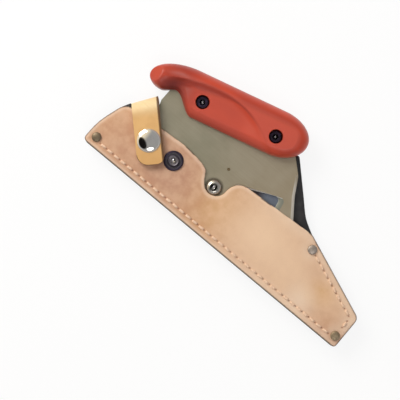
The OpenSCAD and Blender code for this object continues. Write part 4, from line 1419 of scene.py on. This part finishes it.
class PULLKNIFE_OT_fasteners(bpy.types.Operator):
    """Blade bolt, nut and pin, and the grip's screws and nuts"""

    bl_idname = "pullknife.fasteners"
    bl_label = "Fasteners"

    def execute(self, context):
        look = context.scene.pull_knife.hard
        steel = metal("bolt_steel", look.steel, worn=0.6, roughness=0.24, wear=0.35)
        black = metal("knife_black_metal", look.black, worn=3.5, roughness=0.34, metallic=0.7)
        brown = metal("pin_metal", look.pin, worn=0.7, roughness=0.5)
        self.bolt(steel)
        self.screws(black)
        for node, slot, finish in (
                ("blade_nut", "bolt_steel", steel), ("blade_pin", "black_metal", brown),
                ("grip_nuts", "black_metal", black)):
            obj = copy_of(node, "knife_" + node)
            round_edges(obj, 0.2 * MM, angle=30)
            settle(obj, "knife", finish, node)
        return {"FINISHED"}

    def bolt(self, steel):
        """Button-head bolt that clamps the blade."""
        low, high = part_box("blade_bolt")
        centre = middle(low, high)
        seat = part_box("body_plate")[1].z
        height = high.z - seat
        profile = domed((high.x - low.x) / 2, height, rim=0.3)
        parts = [
            socket_head(profile, centre, seat, height, BOLT_FLATS), shank(centre, BOLT_SHANK, low.z, seat)]
        settle(joined("knife_blade_bolt", parts), "knife", steel, "blade_bolt")

    def screws(self, black):
        """Two cap screws down in the grip's counterbores."""
        parts = []
        for low, high, _ in solids("grip_screws"):
            centre = middle(low, high)
            radius, tall = (high.x - low.x) / 2, SCREW_HEAD
            soft = 0.1 * radius
            profile = [(0, tall), (radius - soft, tall), (radius, tall - soft), (radius, 0), (0, 0)]
            parts.append(socket_head(profile, centre, high.z - tall, tall, SCREW_FLATS))
            parts.append(shank(centre, SCREW_SHANK, low.z, high.z - tall))
        settle(joined("knife_grip_screws", parts), "knife", black, "grip_screws")


# Stage

class PULLKNIFE_OT_stage(bpy.types.Operator):
    """Floor, light and camera"""

    bl_idname = "pullknife.stage"
    bl_label = "Stage"

    def execute(self, context):
        look = context.scene.pull_knife.stage
        context.scene.view_settings.view_transform = "Standard"
        self.right = Vector((cos(look.view_turn), sin(look.view_turn), 0))
        self.top = Vector((-sin(look.view_turn), cos(look.view_turn), 0))
        self.spot = Vector((look.centre_x, look.centre_y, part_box("front_panel")[1].z))
        self.floor(look)
        self.room(context.scene, look)
        self.lamp("key", self.aim(-0.65, 0.85, 1.0), distance=1.0, size=0.5, power=look.key)
        self.camera(context.scene, look)
        return {"FINISHED"}

    def aim(self, right, top, up):
        """Direction given by the picture's right, its top and the way up."""
        return (self.right * right + self.top * top + Vector((0, 0, up))).normalized()

    def floor(self, look):
        """Pale floor that keeps the shadow and looks white."""
        obj = added(bpy.ops.mesh.primitive_circle_add, vertices=96, radius=1.6, fill_type="NGON")
        obj.name = "floor"
        obj.data.transform(Matrix.Translation((0, 0, CAD_BOX[0].z - 0.1 * MM)))
        paint = Finish("floor")
        paint.done(look.floor, roughness=0.9, specular_ior_level=0.1)
        white = paint.node("Emission", None, {"Strength": 1.0})
        seen = paint.rays("Camera", "Glossy", "Transmission") * look.floor_white
        paint.output("Material Output", seen, Value(paint, paint.shader.outputs[0]), white)
        obj.data.materials.append(paint.material)

    def room(self, scene, look):
        """Grey room with a bright wall, a dark corner and a small window, white where the camera sees it."""
        scene.world = bpy.data.worlds.new("studio")
        nodes = Nodes(scene.world)
        ray = nodes.node("TexCoord")
        height = nodes.node("SeparateXYZ", None, {0: ray}, output=2)
        tone = nodes.layers(look.horizon, (nodes.levels(height, 0.1, 0.95), look.zenith))
        for aim, wide, narrow, tint in (
                (self.aim(-0.9, 0.75, 0.7), 0.6, 0.8, look.bright_wall),
                (self.aim(-0.5, -0.14, 1.0), 0.93, 0.955, look.dark_corner),
                (self.aim(0.06, -0.48, 1.0), 0.982, 0.987, [look.window] * 3)):
            facing = nodes.node("VectorMath", {"operation": "DOT_PRODUCT"}, {0: ray, 1: aim}, output=1)
            tone = nodes.layers(tone, (nodes.levels(facing, wide, narrow), tint))
        grey = nodes.node("Background", None, {"Color": tone})
        white = nodes.node("Background", None, {"Color": (1, 1, 1, 1)})
        nodes.output("World Output", nodes.rays("Camera"), grey, white)

    def lamp(self, name, direction, distance, size, power):
        """Square soft light that shines on the middle of the picture."""
        data = bpy.data.lights.new(name, "AREA")
        data.size = size
        data.energy = power
        obj = new_object(name, data)
        obj.location = self.spot + direction * distance
        obj.rotation_euler = direction.to_track_quat("Z", "Y").to_euler()

    def camera(self, scene, look):
        """Camera straight above, turned as the picture is."""
        data = bpy.data.cameras.new("camera")
        data.lens = data.sensor_width * look.distance / look.width
        scene.camera = obj = new_object("camera", data)
        obj.location = self.spot + Vector((0, 0, look.distance))
        obj.rotation_euler = (0, 0, look.view_turn)


OPERATORS = (
    PULLKNIFE_OT_panels, PULLKNIFE_OT_seam, PULLKNIFE_OT_rivets, PULLKNIFE_OT_snap, PULLKNIFE_OT_strap,
    PULLKNIFE_OT_plate, PULLKNIFE_OT_grip, PULLKNIFE_OT_fasteners, PULLKNIFE_OT_stage)


class PULLKNIFE_PT_panel(bpy.types.Panel):
    """Lists the pieces in the sidebar"""

    bl_idname = "PULLKNIFE_PT_panel"
    bl_label = "Pull Knife"
    bl_space_type = "VIEW_3D"
    bl_region_type = "UI"
    bl_category = "Pull Knife"

    def draw(self, context):
        for operator in OPERATORS:
            self.layout.operator(operator.bl_idname)


CLASSES = (GripForm, LeatherLook, HardLook, StageLook, PullKnifeSettings, *OPERATORS, PULLKNIFE_PT_panel)


def register():
    """Registers the classes and the scene's settings."""
    for item in CLASSES:
        bpy.utils.register_class(item)
    bpy.types.Scene.pull_knife = bpy.props.PointerProperty(type=PullKnifeSettings)


def unregister():
    """Takes the settings and the classes away again."""
    del bpy.types.Scene.pull_knife
    for item in reversed(CLASSES):
        bpy.utils.unregister_class(item)


def main():
    """Makes every piece in order."""
    register()
    for operator in OPERATORS:
        getattr(bpy.ops.pullknife, operator.bl_idname.split(".")[1])()


if __name__ == "__main__":
    main()
